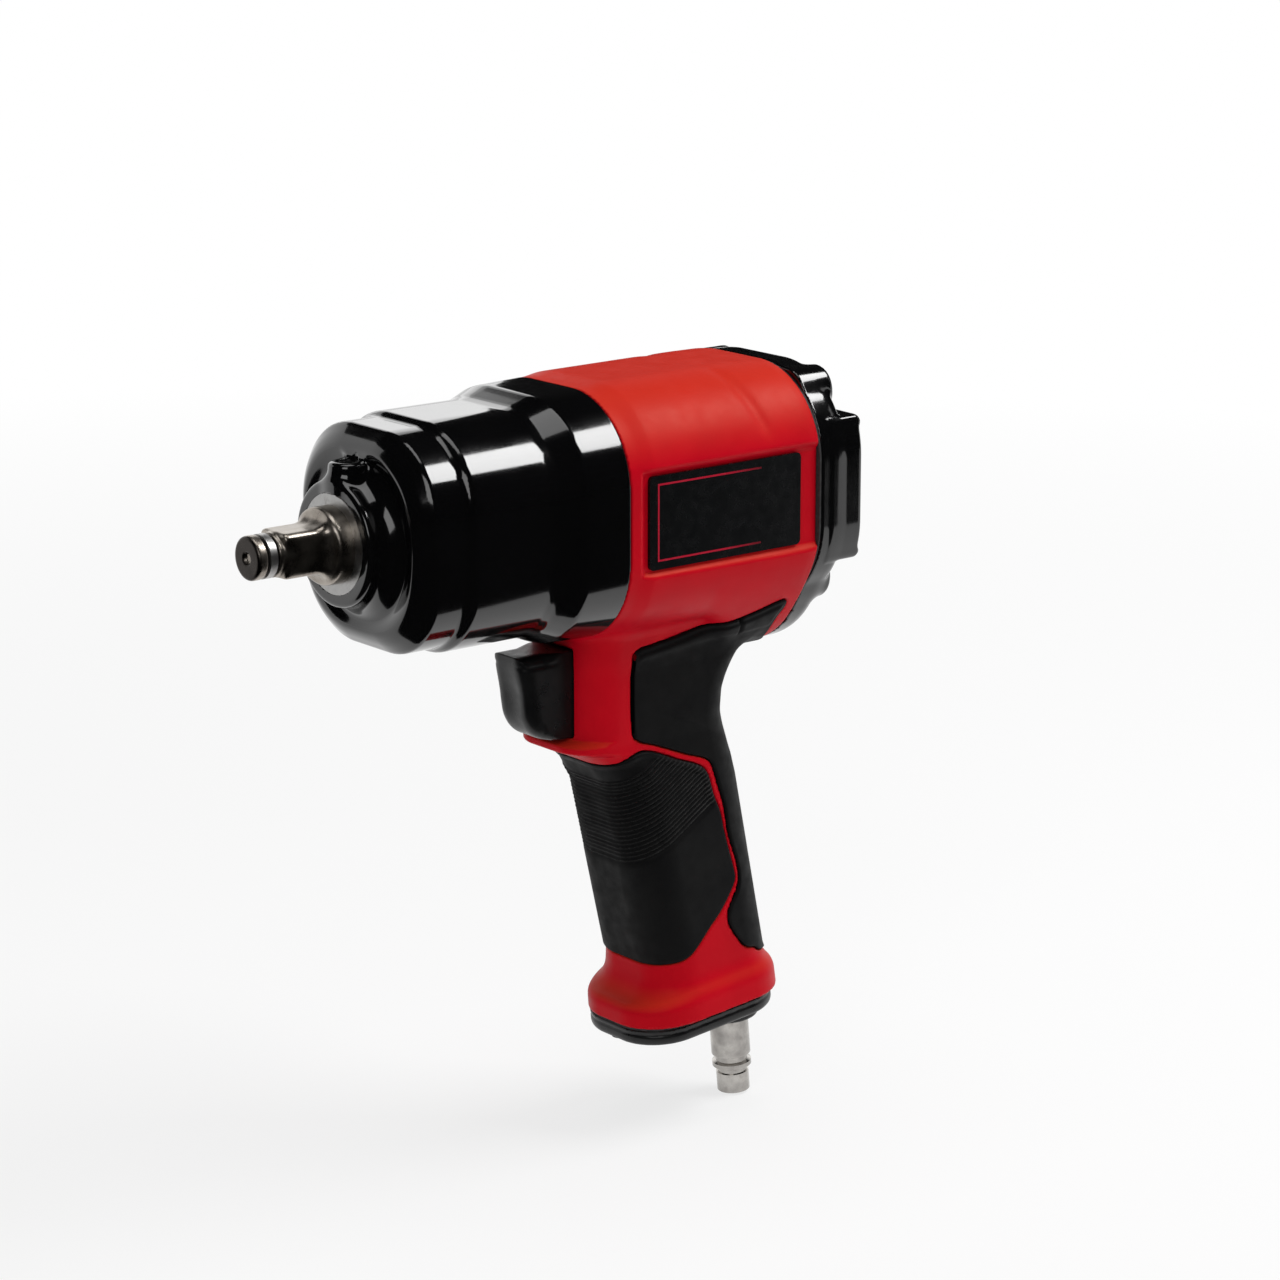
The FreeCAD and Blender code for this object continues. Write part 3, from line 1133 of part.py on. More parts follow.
def make_selector():
    """Rotary valve with its knob, screw, o-ring and detent."""
    valve = new_body("selector_valve")
    waist_end = f"{WAIST_START} + selector_waist_length"
    ring_end = f"{RING_START} + selector_ring_width"
    ring_floor = "selector_radius - selector_ring_depth"
    screw_end = f"{COVER_END} - knob_screw_head_height"
    turn(valve, "Revolution", "selector_turned", [
        (SELECTOR_START, "0"), (SELECTOR_START, "selector_radius"),
        (WAIST_START, "selector_radius"), (WAIST_START, "selector_waist_radius"),
        (waist_end, "selector_waist_radius"), (waist_end, "selector_radius"),
        (RING_START, "selector_radius"), (RING_START, ring_floor),
        (ring_end, ring_floor), (ring_end, "selector_radius"),
        (f"{KNOB_START} + seat_gap", "selector_radius"), (f"{KNOB_START} + seat_gap", "0")])
    cross_disc(valve, "Pocket", "selector_tap", "0", "0", "knob_screw_radius",
               screw_end + " - knob_screw_length", "knob_screw_length")
    node(valve, "selector_valve")
    turned_node("selector_ring", ring_outline(RING_START, ring_end, ring_floor, "selector_radius"))
    knob = new_body("selector_knob")
    knob_front = f"{KNOB_START} + seat_gap"
    cross_disc(knob, "Pad", "knob_disc", "0", "0", "knob_radius", knob_front, "knob_thickness - seat_gap")
    grip = rounded_rectangle(
        knob, "knob_grip_section", "YZ_Plane", ("-knob_grip_width / 2", "-knob_grip_length / 2"),
        ("knob_grip_width / 2", "knob_grip_length / 2"), "knob_grip_width / 2 - 0.1", COVER_END)
    extrude(knob, "Pad", "knob_grip", grip, "knob_grip_height")
    cross_disc(knob, "Pocket", "knob_screw_hole", "0", "0", "knob_screw_radius + running_gap",
               knob_front, "knob_thickness + knob_grip_height")
    cross_disc(knob, "Pocket", "knob_counterbore", "0", "0", "knob_screw_head_radius + seat_gap",
               screw_end, "knob_screw_head_height + knob_grip_height + 1")
    node(knob, "selector_knob")
    node(socket_head_screw("selector_screw", "knob_screw_radius", "knob_screw_head_radius",
                           "knob_screw_head_height", screw_end, "knob_screw_length"), "selector_screw")


def make_detent():
    """Sprung ball that holds the selector at its stops."""
    ball = doc.addObject("Part::Sphere", "detent_ball")
    bind(ball, "Radius", "detent_radius")
    bind(ball, "Placement.Base.x", f"-({KNOB_START} - detent_radius - seat_gap)")
    bind(ball, "Placement.Base.z", "detent_circle_radius")
    node(ball, "detent_ball")
    coil = spring("detent_spring", "detent_radius - spring_wire_radius", "detent_spring_length - 1", 4)
    coil.Placement.Rotation = FreeCAD.Rotation(FreeCAD.Vector(0, 1, 0), -90)
    bind(coil, "Placement.Base.x",
         f"-({KNOB_START} - 2 * detent_radius - detent_spring_length + spring_wire_radius)")
    bind(coil, "Placement.Base.z", "detent_circle_radius")


def front_edges(shape, limit, half):
    """Names of the long edges along both sides of the trigger's finger face."""
    names = []
    for index, edge in enumerate(shape.Edges, start=1):
        box = edge.BoundBox
        flat = box.YLength < 0.01 and abs(abs(box.Center.y) - half) < 0.01
        if flat and box.XMax < limit and edge.Length > 2:
            names.append(f"Edge{index}")
    return names


def make_trigger():
    """Finger lever with its rod, cross pin and return spring; it slides straight into the handle."""
    body = new_body("trigger")
    side = polygon(body, "trigger_side", "XZ_Plane", [
        (TRIGGER_FRONT, TRIGGER_TOP), (f"{TRIGGER_FRONT} + 1.2", f"{TRIGGER_TOP} + 8"),
        (f"{TRIGGER_FRONT} + 3.6", f"{TRIGGER_TOP} + 16"), (f"{TRIGGER_TOE} - 4", f"{TRIGGER_BOTTOM} - 3"),
        (TRIGGER_TOE, TRIGGER_BOTTOM), (TRIGGER_REAR, TRIGGER_BOTTOM), (TRIGGER_REAR, TRIGGER_TOP)])
    block = extrude(body, "Pad", "trigger_block", side, "2 * trigger_half", symmetric=True)
    doc.recompute()
    rounding = body.newObject("PartDesign::Fillet", "trigger_rounding")
    rounding.Base = (block, front_edges(block.Shape, number(f"{TRIGGER_TOE} + 1"), number("trigger_half")))
    bind(rounding, "Radius", "trigger_round")
    body.Tip = rounding
    doc.recompute()
    cross_disc(body, "Pocket", "rod_socket", "0", ROD_DEPTH, "rod_radius",
               f"{TRIGGER_FRONT} + rod_inset", "50")
    cross_disc(body, "Pocket", "spring_pocket", "0", ROD_DEPTH,
               "trigger_spring_radius + spring_wire_radius + free_gap",
               f"{TRIGGER_REAR} - trigger_spring_pocket", "50")
    pin_station = f"{TRIGGER_FRONT} + trigger_pin_inset"
    hole = circle(body, "pin_circle", "XZ_Plane", pin_station, ROD_DEPTH, "trigger_pin_radius")
    extrude(body, "Pocket", "pin_hole", hole, "4 * trigger_half", symmetric=True)
    node(body, "trigger")
    rod_end = f"{VALVE_STATION} - stem_radius - rod_tip_gap"
    shank = bar("rod_shank", "rod_radius", rod_end + f" - rod_tip_length - {TRIGGER_FRONT} - rod_inset",
                f"{TRIGGER_FRONT} + rod_inset", "0", f"-{ROD_DEPTH}")
    tip = doc.addObject("Part::Cone", "rod_tip")
    tip.Placement.Rotation = FreeCAD.Rotation(FreeCAD.Vector(0, 1, 0), -90)
    bind(tip, "Radius1", "rod_radius")
    bind(tip, "Radius2", "rod_tip_radius")
    bind(tip, "Height", "rod_tip_length")
    bind(tip, "Placement.Base.x", f"-({rod_end} - rod_tip_length)")
    bind(tip, "Placement.Base.z", f"-{ROD_DEPTH}")
    pin = doc.addObject("Part::Cylinder", "trigger_pin")
    pin.Placement.Rotation = FreeCAD.Rotation(FreeCAD.Vector(1, 0, 0), 90)
    bind(pin, "Radius", "trigger_pin_radius")
    bind(pin, "Height", "2 * trigger_half - 1")
    bind(pin, "Placement.Base.x", f"-({pin_station})")
    bind(pin, "Placement.Base.y", "trigger_half - 0.5")
    bind(pin, "Placement.Base.z", f"-{ROD_DEPTH}")
    node(boolean("Cut", "trigger_rod", fused("rod_solid", [shank, tip]), pin), "trigger_rod")
    node(pin, "trigger_pin")
    spring_front = f"{TRIGGER_REAR} - trigger_spring_pocket + spring_wire_radius"
    coil = spring("trigger_spring", "trigger_spring_radius",
                  f"{SLEEVE_START} - spring_wire_radius - (" + spring_front + ")", 5)
    coil.Placement.Rotation = FreeCAD.Rotation(FreeCAD.Vector(0, 1, 0), -90)
    bind(coil, "Placement.Base.x", f"-({spring_front})")
    bind(coil, "Placement.Base.z", f"-{ROD_DEPTH}")


def make_throttle():
    """Rod sleeve, valve seat, tilting valve, its spring and the spring's cup."""
    node(boolean("Cut", "trigger_sleeve",
                 bar("sleeve_outside", "sleeve_radius", f"{CHAMBER_FRONT} - {SLEEVE_START}",
                     SLEEVE_START, "0", f"-{ROD_DEPTH}"),
                 bar("sleeve_inside", "rod_radius + running_gap", "60", f"{SLEEVE_START} - 10", "0",
                     f"-{ROD_DEPTH}")), "trigger_sleeve")
    seat = new_body("valve_seat")
    disc(seat, "Pad", "seat_disc", VALVE_STATION, "0", "seat_radius", SEAT_DEPTH, "seat_thickness")
    disc(seat, "Pocket", "seat_bore", VALVE_STATION, "0", "seat_bore_radius", SEAT_DEPTH, "seat_thickness")
    node(seat, "valve_seat")
    valve = new_body("throttle_valve")
    disc(valve, "Pad", "valve_head", VALVE_STATION, "0", "valve_head_radius", VALVE_HEAD_TOP,
         "valve_head_thickness")
    disc(valve, "Pad", "valve_stem", VALVE_STATION, "0", "stem_radius", STEM_TOP,
         f"{VALVE_HEAD_TOP} - {STEM_TOP} + 0.5")
    node(valve, "throttle_valve")
    coil = spring("valve_spring", "valve_spring_radius", "valve_spring_length - 2 * spring_wire_radius", 5)
    in_station_frame(coil)
    bind(coil, "Placement.Base.x", f"-{VALVE_STATION}")
    bind(coil, "Placement.Base.z", f"-({VALVE_SPRING_TOP} + spring_wire_radius)")
    cup = new_body("spring_cup")
    disc(cup, "Pad", "cup_disc", VALVE_STATION, "0", "seat_radius", SPRING_CUP_TOP, "spring_cup_thickness")
    disc(cup, "Pocket", "cup_bore", VALVE_STATION, "0", "spring_cup_bore_radius", SPRING_CUP_TOP,
         "spring_cup_thickness")
    node(cup, "spring_cup")


def base_plate_section(body, name, inset, offset):
    return rounded_rectangle(
        body, name, "XY_Plane", (f"-base_front_reach + {inset}", f"-base_half + {inset}"),
        (f"base_rear_reach - {inset}", f"base_half - {inset}"), f"base_corner - {inset}", offset)


def make_base_gasket():
    body = new_body("base_gasket", in_base_frame)
    extrude(body, "Pad", "base_gasket_sheet", base_plate_section(body, "base_gasket_section", "0.4", "0"),
            "base_gasket_thickness")
    extrude(body, "Pocket", "base_gasket_window", muffler_section(body, "base_window", "0", "0"),
            "base_gasket_thickness")
    disc(body, "Pocket", "base_gasket_eye", "0", "0", "insert_radius", "0", "base_gasket_thickness")
    for place in ("rear", "front"):
        disc(body, "Pocket", f"base_gasket_hole_{place}", f"-base_screw_{place}_reach", "0",
             "base_screw_radius + seat_gap", "0", "base_gasket_thickness")
    return node(body, "base_gasket")


def make_base_cover():
    """Foot plate with exhaust vents and the threaded boss for the air nipple."""
    body = new_body("base_cover", in_base_frame)
    extrude(body, "Pad", "base_plate", base_plate_section(body, "base_plate_section", "0", COVER_PLATE_TOP),
            "base_thickness")
    disc(body, "Pad", "inlet_boss", "0", "0", "inlet_boss_radius", COVER_PLATE_END, "inlet_boss_height")
    disc(body, "Pocket", "inlet_hole", "0", "0", "thread_radius", COVER_PLATE_TOP,
         "base_thickness + inlet_boss_height")
    for index in range(VENT_COUNT):
        start = f"-vent_reach + {index} * vent_pitch"
        vent = rounded_rectangle(body, f"vent_section_{index}", "XY_Plane", (start, "-vent_half_length"),
                                 (f"{start} + vent_width", "vent_half_length"), "vent_width / 2 - 0.1",
                                 COVER_PLATE_TOP)
        extrude(body, "Pocket", f"vent_{index}", vent, "base_thickness")
    for place in ("rear", "front"):
        reach = f"-base_screw_{place}_reach"
        disc(body, "Pocket", f"base_hole_{place}", reach, "0", "base_screw_radius + seat_gap",
             COVER_PLATE_TOP, "base_thickness")
        disc(body, "Pocket", f"base_counterbore_{place}", reach, "0", "base_screw_head_radius + seat_gap",
             f"{COVER_PLATE_END} - base_screw_head_height", "base_screw_head_height")
    return node(body, "base_cover")


def make_base_screws():
    screws = []
    seat = f"{COVER_PLATE_END} - base_screw_head_height"
    for place in ("rear", "front"):
        body = new_body(f"base_screw_{place}", in_base_frame)
        reach = f"-base_screw_{place}_reach"
        disc(body, "Pad", f"base_screw_{place}_shank", reach, "0", "base_screw_radius",
             "-base_screw_length + 0.3", f"base_screw_length - 0.3 + {seat}")
        disc(body, "Pad", f"base_screw_{place}_head", reach, "0", "base_screw_head_radius", seat,
             "base_screw_head_height")
        disc(body, "Pocket", f"base_screw_{place}_key", reach, "0", "base_screw_head_radius / 2",
             f"{COVER_PLATE_END} - 1.4", "1.4")
        screws.append(body)
    group("base_screws", screws)


def make_muffler():
    body = new_body("muffler_pad", in_base_frame)
    extrude(body, "Pad", "muffler_solid", muffler_section(body, "muffler_section", "-seat_gap",
            "-muffler_height + seat_gap"), "muffler_height - seat_gap")
    return node(body, "muffler_pad")


def turned_down(label, corners):
    """Sub-part turned about the inlet axis from a (radius, distance below the base plane) outline."""
    body = new_body(label, in_base_frame)
    outline = polygon(body, label + "_outline", "XZ_Plane", corners)
    item = feature(body, "Revolution", label + "_turned", outline)
    item.ReferenceAxis = (origin_part(body, "Z_Axis"), [""])
    item.Angle = 360
    return node(body, label)


def tube_outline(top, end, inner, outer):
    return [(inner, top), (outer, top), (outer, end), (inner, end)]


def make_inlet():
    """Threaded insert, strainer, seal and the plug-in air nipple."""
    turned_down("inlet_insert", tube_outline(
        "-insert_length", COVER_PLATE_TOP, "thread_radius", "insert_radius"))
    turned_down("inlet_strainer", [
        ("0", "-insert_length"), ("thread_radius", "-insert_length"),
        ("thread_radius", "-insert_length + screen_thickness"), ("0", "-insert_length + screen_thickness")])
    turned_down("nipple_seal", tube_outline(BOSS_END, NIPPLE_START, "nipple_stub_radius", "nipple_body_radius"))
    body_end = f"{NIPPLE_START} + nipple_body_length"
    waist_end = body_end + " + nipple_waist_length"
    bead_end = waist_end + " + nipple_bead_length"
    neck_end = bead_end + " + nipple_neck_length"
    nose_end = neck_end + " + nipple_nose_length"
    turned_down("air_nipple", [
        ("nipple_bore_radius", "-nipple_stub_length"), ("nipple_stub_radius", "-nipple_stub_length"),
        ("nipple_stub_radius", NIPPLE_START), ("nipple_body_radius", NIPPLE_START),
        ("nipple_body_radius", body_end), ("nipple_waist_radius", body_end + " + 0.6"),
        ("nipple_waist_radius", waist_end), ("nipple_bead_radius", waist_end + " + 0.5"),
        ("nipple_bead_radius", bead_end + " - 0.5"), ("nipple_neck_radius", bead_end + " + 0.3"),
        ("nipple_neck_radius", neck_end), ("nipple_nose_radius", neck_end),
        ("nipple_nose_radius", nose_end), ("nipple_bore_radius", nose_end)])


MAKERS = [
    make_anvil, make_socket_ring, make_hammer_case, make_grease_plug, make_anvil_bushing,
    make_hammer_cage, make_hammers, make_hammer_pins, make_front_end_plate, make_rear_end_plate,
    make_motor_cylinder, make_dowel, make_rotor, make_vanes, make_motor_housing, make_labels,
    make_rear_cover, make_cover_screws, make_selector, make_detent, make_trigger, make_throttle,
    make_base_gasket, make_base_cover, make_base_screws, make_muffler, make_inlet,
]
for make in MAKERS:
    make()
make_bearing("front_bearing", FRONT_BEARING)
make_bearing("rear_bearing", REAR_BEARING)
make_gasket("case_gasket", CASE_REAR, FRONT_HALF)
make_gasket("cover_gasket", HOUSING_REAR, REAR_HALF)
doc.recompute()


def check_document():
    """Stop before anything is written if an object failed or a sub-part has no sound shape."""
    failed = [item.Label for item in doc.Objects if {"Invalid", "Error"} & set(item.State)]
    unsound = [item.Label for item in nodes if item.Shape.isNull() or not item.Shape.isValid()]
    if failed or unsound:
        raise RuntimeError(f"failed objects {failed}, unsound sub-parts {unsound}")


def write_parts():
    os.makedirs("parts", exist_ok=True)
    for item in nodes:
        item.Shape.exportStep(f"parts/{item.Label}.step")


check_document()
write_parts()
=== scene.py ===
"""Impact wrench: shells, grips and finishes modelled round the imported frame.

Shapes are written in millimetres in the tool's own directions: station runs back from the tip of
the drive, side runs to the tool's left and depth runs down.  placed() turns them into the frame's
metres (x = -station, y = side, z = -depth).
"""
import json
import math

import bpy
import numpy as np
from mathutils import Matrix, Vector


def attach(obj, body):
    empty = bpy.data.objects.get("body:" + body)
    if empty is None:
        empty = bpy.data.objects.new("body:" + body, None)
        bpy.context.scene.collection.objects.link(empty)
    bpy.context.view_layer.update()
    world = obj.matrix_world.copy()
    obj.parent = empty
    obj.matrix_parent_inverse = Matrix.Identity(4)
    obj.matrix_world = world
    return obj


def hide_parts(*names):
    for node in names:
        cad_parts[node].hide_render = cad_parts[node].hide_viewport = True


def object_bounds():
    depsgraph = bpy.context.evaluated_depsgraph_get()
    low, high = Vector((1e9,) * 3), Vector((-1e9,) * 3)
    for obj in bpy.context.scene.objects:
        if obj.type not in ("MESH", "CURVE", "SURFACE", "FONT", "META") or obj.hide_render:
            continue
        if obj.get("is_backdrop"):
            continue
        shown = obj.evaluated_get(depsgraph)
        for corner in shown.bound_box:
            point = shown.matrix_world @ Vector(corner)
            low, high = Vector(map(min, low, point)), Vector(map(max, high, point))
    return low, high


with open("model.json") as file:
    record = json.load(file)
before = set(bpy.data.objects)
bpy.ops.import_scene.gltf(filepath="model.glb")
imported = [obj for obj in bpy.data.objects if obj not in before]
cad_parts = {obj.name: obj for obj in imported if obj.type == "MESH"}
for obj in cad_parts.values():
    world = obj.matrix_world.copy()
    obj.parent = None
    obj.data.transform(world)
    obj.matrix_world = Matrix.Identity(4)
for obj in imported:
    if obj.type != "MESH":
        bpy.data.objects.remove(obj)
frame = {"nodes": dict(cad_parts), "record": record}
cad_low, cad_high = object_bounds()

MM = 0.001

# Overall sizes shared by several pieces, in millimetres.
CORNER_SHARE = 0.74          # corner radius of the barrel's rounded-square section, as a share of its half
CASE_FRONT, CASE_FACE, CASE_REAR = 28.0, 36.0, 104.0
HOUSING_FRONT, HOUSING_REAR = 104.6, 174.0
COVER_START, COVER_FACE, COVER_END = 174.6, 185.6, 191.0
MOTOR_BORE, CASE_BORE, BUSHING_BORE = 29.5, 26.5, 14.1
COLLAR_RADIUS, NOSE_RADIUS = 10.9, 17.85
SCREW_SIDE, SCREW_DEPTH = 20.5, 27.8
INLET_STATION, BASE_DEPTH = 169.8, 155.4
BASE_TILT = math.radians(5.5)
BASE_SCREW_REACHES = (-13.2, -40.9)
COVER_SCREW_HOLE, COVER_SCREW_WELL = 2.6, 4.3
TRIGGER_TOP, TRIGGER_BOTTOM, TRIGGER_HALF = 41.0, 66.8, 7.75
ROD_DEPTH = 52.0
TRIGGER_GAP = 0.4


# ---------------------------------------------------------------- distances

def smooth_max(a, b, blend):
    """Larger of two distances, with the edge between them rounded over blend."""
    overlap = np.maximum(blend - np.abs(a - b), 0) / blend
    return np.maximum(a, b) + blend * overlap ** 2 / 4


def smooth_min(a, b, blend):
    return -smooth_max(-a, -b, blend)


def profile(place, knots, blur=0.7):
    """Height over (place, height) knots, with each corner rounded over blur."""
    places, heights = zip(*knots)
    return sum(np.interp(place + blur * shift, places, heights) for shift in (-1, 0, 0, 1)) / 4


def rounded_box(u, v, half_u, half_v, corner):
    """Distance to a rounded rectangle about the origin."""
    out_u = np.abs(u) - half_u + corner
    out_v = np.abs(v) - half_v + corner
    outside = np.hypot(np.maximum(out_u, 0), np.maximum(out_v, 0))
    return outside + np.minimum(np.maximum(out_u, out_v), 0) - corner


def bar(along, radius, start, end, size):
    """Distance to a round bar along an axis."""
    return np.maximum(radius - size, np.maximum(start - along, along - end))


def bump(value, centre, width):
    """Soft ridge of height 1 about a centre."""
    return np.exp(-((value - centre) / width) ** 2)


def fade(value, edge, width):
    """1 below an edge and 0 above it, changing over width."""
    return 1 / (1 + np.exp((value - edge) / width))


OUTLINE_SPANS = 6


def smooth_outline(corners):
    """Closed curve through given corners; a corner given as (u, v, True) stays sharp."""
    points = np.array([corner[:2] for corner in corners], float)
    sharp = [len(corner) > 2 for corner in corners]
    count = len(points)
    line = []
    for index in range(count):
        here, after = points[index], points[(index + 1) % count]
        following = points[(index + 2) % count]
        chord = after - here
        slope = chord if sharp[index] else (after - points[index - 1]) / 2
        next_slope = chord if sharp[(index + 1) % count] else (following - here) / 2
        for part in range(OUTLINE_SPANS):
            share = part / OUTLINE_SPANS
            square, cube = share ** 2, share ** 3
            line.append((2 * cube - 3 * square + 1) * here + (cube - 2 * square + share) * slope
                        + (3 * square - 2 * cube) * after + (cube - square) * next_slope)
    return np.array(line)


class Region:
    """Signed distance to a closed outline in station and depth, looked up on a fine grid."""

    step = 0.4

    def __init__(self, corners):
        line = smooth_outline(corners)
        self.low = line.min(0) - 8
        size = np.ceil((line.max(0) + 8 - self.low) / self.step).astype(int) + 1
        station = self.low[0] + self.step * np.arange(size[0])[:, None]
        depth = self.low[1] + self.step * np.arange(size[1])[None, :]
        nearest = np.full((size[0], size[1]), 1e9)
        inside = np.zeros((size[0], size[1]), bool)
        for (s0, d0), (s1, d1) in zip(line, np.roll(line, -1, axis=0)):
            run, drop = s1 - s0, d1 - d0
            share = ((station - s0) * run + (depth - d0) * drop) / max(run ** 2 + drop ** 2, 1e-9)
            share = np.clip(share, 0, 1)
            nearest = np.minimum(nearest, np.hypot(station - s0 - share * run, depth - d0 - share * drop))
            crosses = (d0 > depth) != (d1 > depth)
            inside ^= crosses & (station < s0 + (depth - d0) * run / (drop if drop else 1e-9))
        self.values = np.where(inside, -nearest, nearest)

    def __call__(self, station, depth):
        station, depth = np.broadcast_arrays(station, depth)
        u = np.clip((station - self.low[0]) / self.step, 0, self.values.shape[0] - 1.001)
        v = np.clip((depth - self.low[1]) / self.step, 0, self.values.shape[1] - 1.001)
        i, j = u.astype(int), v.astype(int)
        a, b = u - i, v - j
        table = self.values
        return ((1 - a) * ((1 - b) * table[i, j] + b * table[i, j + 1])
                + a * ((1 - b) * table[i + 1, j] + b * table[i + 1, j + 1]))


# ---------------------------------------------------------------- hammer case

CASE_HALVES = [(36, 26.4), (40.6, 31.2), (51, 31.2), (53, 32.6), (79, 32.6), (82, 33.0), (86, 34.4),
               (89, 35.5), (104, 36.0)]
BOSS_STATION, BOSS_TOP, BOSS_RADIUS, PLUG_RADIUS = 33.4, 22.6, 5.3, 3.05


def screw_holes(s, y, d, start, end, radius):
    across = np.hypot(np.abs(y) - SCREW_SIDE, np.abs(d) - SCREW_DEPTH)
    return bar(s, across, start, end, radius)


def hammer_case(s, y, d):
    """Cast nose: rounded-square barrel, stepped block, dished face and round snout."""
    radius = np.hypot(y, d)
    half = profile(s, CASE_HALVES)
    barrel = rounded_box(y, d, half, half, CORNER_SHARE * half)
    dish = 1.1 * bump(radius, 22.5, 2.6)
    barrel = smooth_max(barrel, CASE_FACE + dish - s, 2.4)
    snout = smooth_max(radius - NOSE_RADIUS, CASE_FRONT - s, 1.5)
    snout = np.maximum(snout, s - CASE_FACE - 8)
    boss = smooth_max(np.hypot(s - BOSS_STATION, y) - BOSS_RADIUS, -BOSS_TOP - d, 1.8)
    boss = np.maximum(boss, d + 12)
    socket = bar(-d, np.hypot(s - BOSS_STATION, y), BOSS_TOP - 4, BOSS_TOP + 2, PLUG_RADIUS)
    shape = smooth_min(smooth_min(barrel, snout, 5.5), boss, 3.4)
    shape = np.maximum(smooth_max(shape, s - CASE_REAR, 0.3), -socket)
    for start, end, size in ((0, 46, BUSHING_BORE), (45, 93, CASE_BORE), (92, 106, MOTOR_BORE)):
        shape = np.maximum(shape, -bar(s, radius, start, end, size))
    return np.maximum(shape, -screw_holes(s, y, d, 91, 106, COVER_SCREW_HOLE))


# ---------------------------------------------------------------- motor housing and handle

HOUSING_HALVES = [(104.6, 35.9), (107.5, 36.0), (112.5, 36.8), (160, 37.1), (170, 37.0), (174, 36.5)]
HANDLE_FRONT = [(26, 104.6), (67.7, 104.6), (68.7, 100.2), (70.9, 100.2), (72.4, 106.5), (76.5, 112.5),
                (85.5, 118), (142, 131.2), (150, 131.0), (172, 131)]
HANDLE_REAR = [(26, 174), (37, 173.6), (42, 169.5), (47, 165.3), (51.5, 162), (55, 160), (59, 158.4),
               (66, 157.8), (76.5, 160.7), (85.5, 163.6), (142, 175.2), (155, 178.2), (172, 179)]
HANDLE_HALF = [(26, 22), (38, 18.4), (48, 17), (70, 17), (80, 18.4), (142, 18.5), (172, 19)]
HANDLE_CORNER = [(26, 11), (66, 11), (84, 13), (172, 13)]
RECESS_FLOOR, RECESS_HALF = 34.6, 13.9
KEEL_RADIUS, KEEL_DROP = 29.5, 20.0
TOE_HALF_LENGTH, TOE_HALF_WIDTH, TOE_CORNER, TOE_RISE, TOE_REACH = 27.4, 19.7, 15, 6.4, 18


def base_frame(s, d):
    """Reach and drop from the centre of the inlet on the tilted base plane."""
    reach = (s - INLET_STATION) * math.cos(BASE_TILT) - (d - BASE_DEPTH) * math.sin(BASE_TILT)
    drop = (s - INLET_STATION) * math.sin(BASE_TILT) + (d - BASE_DEPTH) * math.cos(BASE_TILT)
    return reach, drop


def barrel_skin(s, y, d):
    half = profile(s, HOUSING_HALVES, 1.0)
    skin = rounded_box(y, d, half, half, CORNER_SHARE * half)
    on_shoulder = fade(d, -21, 1.5) * fade(-d, 37, 1.5) * fade(-np.abs(y), -12, 2)
    skin = skin + 0.55 * bump(s - 0.25 * d, 160, 2.4) * on_shoulder
    keel = smooth_max(np.hypot(y, d - KEEL_DROP) - KEEL_RADIUS, 1.2 * (146 - s + 0.6 * (d - 37)), 8.0)
    skin = smooth_min(skin, keel, 5.0)
    skin = smooth_max(skin, HOUSING_FRONT - 0.3 - s, 0.3)
    return smooth_max(skin, s - HOUSING_REAR, 1.2)


def side_recess(s, y, d):
    """Flat-floored recess with sloping ledges, open at the rear edge."""
    slope = smooth_max(np.abs(d) - RECESS_HALF, 109.6 - s, 0.6)
    wall = RECESS_FLOOR + 0.85 * smooth_max(slope, 0 * slope, 0.5)
    return 0.8 * (np.abs(y) - wall)


def grip_skin(s, y, d):
    """Handle down to the base plane, flared into the toe."""
    front = profile(d, HANDLE_FRONT, 0.5)
    rear = profile(d, HANDLE_REAR, 1.2)
    corner = profile(d, HANDLE_CORNER)
    half = profile(d, HANDLE_HALF)
    handle = rounded_box(s - (front + rear) / 2, y, (rear - front) / 2, half, corner)
    reach, drop = base_frame(s, d)
    toe = rounded_box(reach + TOE_REACH, y, TOE_HALF_LENGTH, TOE_HALF_WIDTH, TOE_CORNER)
    toe = smooth_max(toe, -TOE_RISE - drop, 3.0)
    return smooth_max(smooth_min(handle, toe, 7.5), drop, 0.5)


def outer_skin(s, y, d):
    barrel = smooth_max(barrel_skin(s, y, d), side_recess(s, y, d), 0.5)
    handle = np.maximum(grip_skin(s, y, d), 12 - d)
    handle = smooth_max(handle, HOUSING_FRONT - 4.2 - s, 0.5)
    return smooth_min(barrel, handle, 3.0)


FRONT_PAD = Region([
    (103, 75.6, True), (110.5, 76.0), (114, 75.6), (118, 73.6), (122, 72.4), (127, 73.0),
    (135.3, 76.5), (143.3, 79.6), (146.8, 82.6), (149.2, 89.6), (151.8, 95.6), (153.5, 102.4),
    (156.9, 113.4), (157.6, 117.4), (155.6, 121.5), (151.9, 126.6), (147.5, 131), (143.4, 135.5),
    (139, 139), (132.5, 140.8), (120, 143, True)])
REAR_PAD = Region([
    (119.6, 46), (120.6, 41.8), (126, 40.7), (132, 39.9), (144, 37.7), (157, 34.6), (166.8, 31.6),
    (169.2, 33.6), (168.6, 38), (170, 44), (178, 60), (196, 144), (172, 143), (165.8, 140.6),
    (161.4, 138.9), (155.9, 131.6), (155.4, 127), (158.3, 121.4), (159.2, 117.2), (158.4, 112.2),
    (155.0, 102.3), (153.4, 94.1), (150.8, 86.5), (149.2, 82.0), (146.8, 78.4), (138.5, 75.3),
    (128.1, 71.1), (122.1, 68.9), (119.8, 64.9)])
PAD_PROUD, PAD_THICKNESS, PAD_CLEARANCE = 0.55, 1.9, 0.25
BARREL_CLEARANCE = 30.5
RIB_PITCH, RIB_SLOPE, RIB_START, RIB_TOP, RIB_BOTTOM = 1.55, 0.63, 120.0, 79.6, 110.3


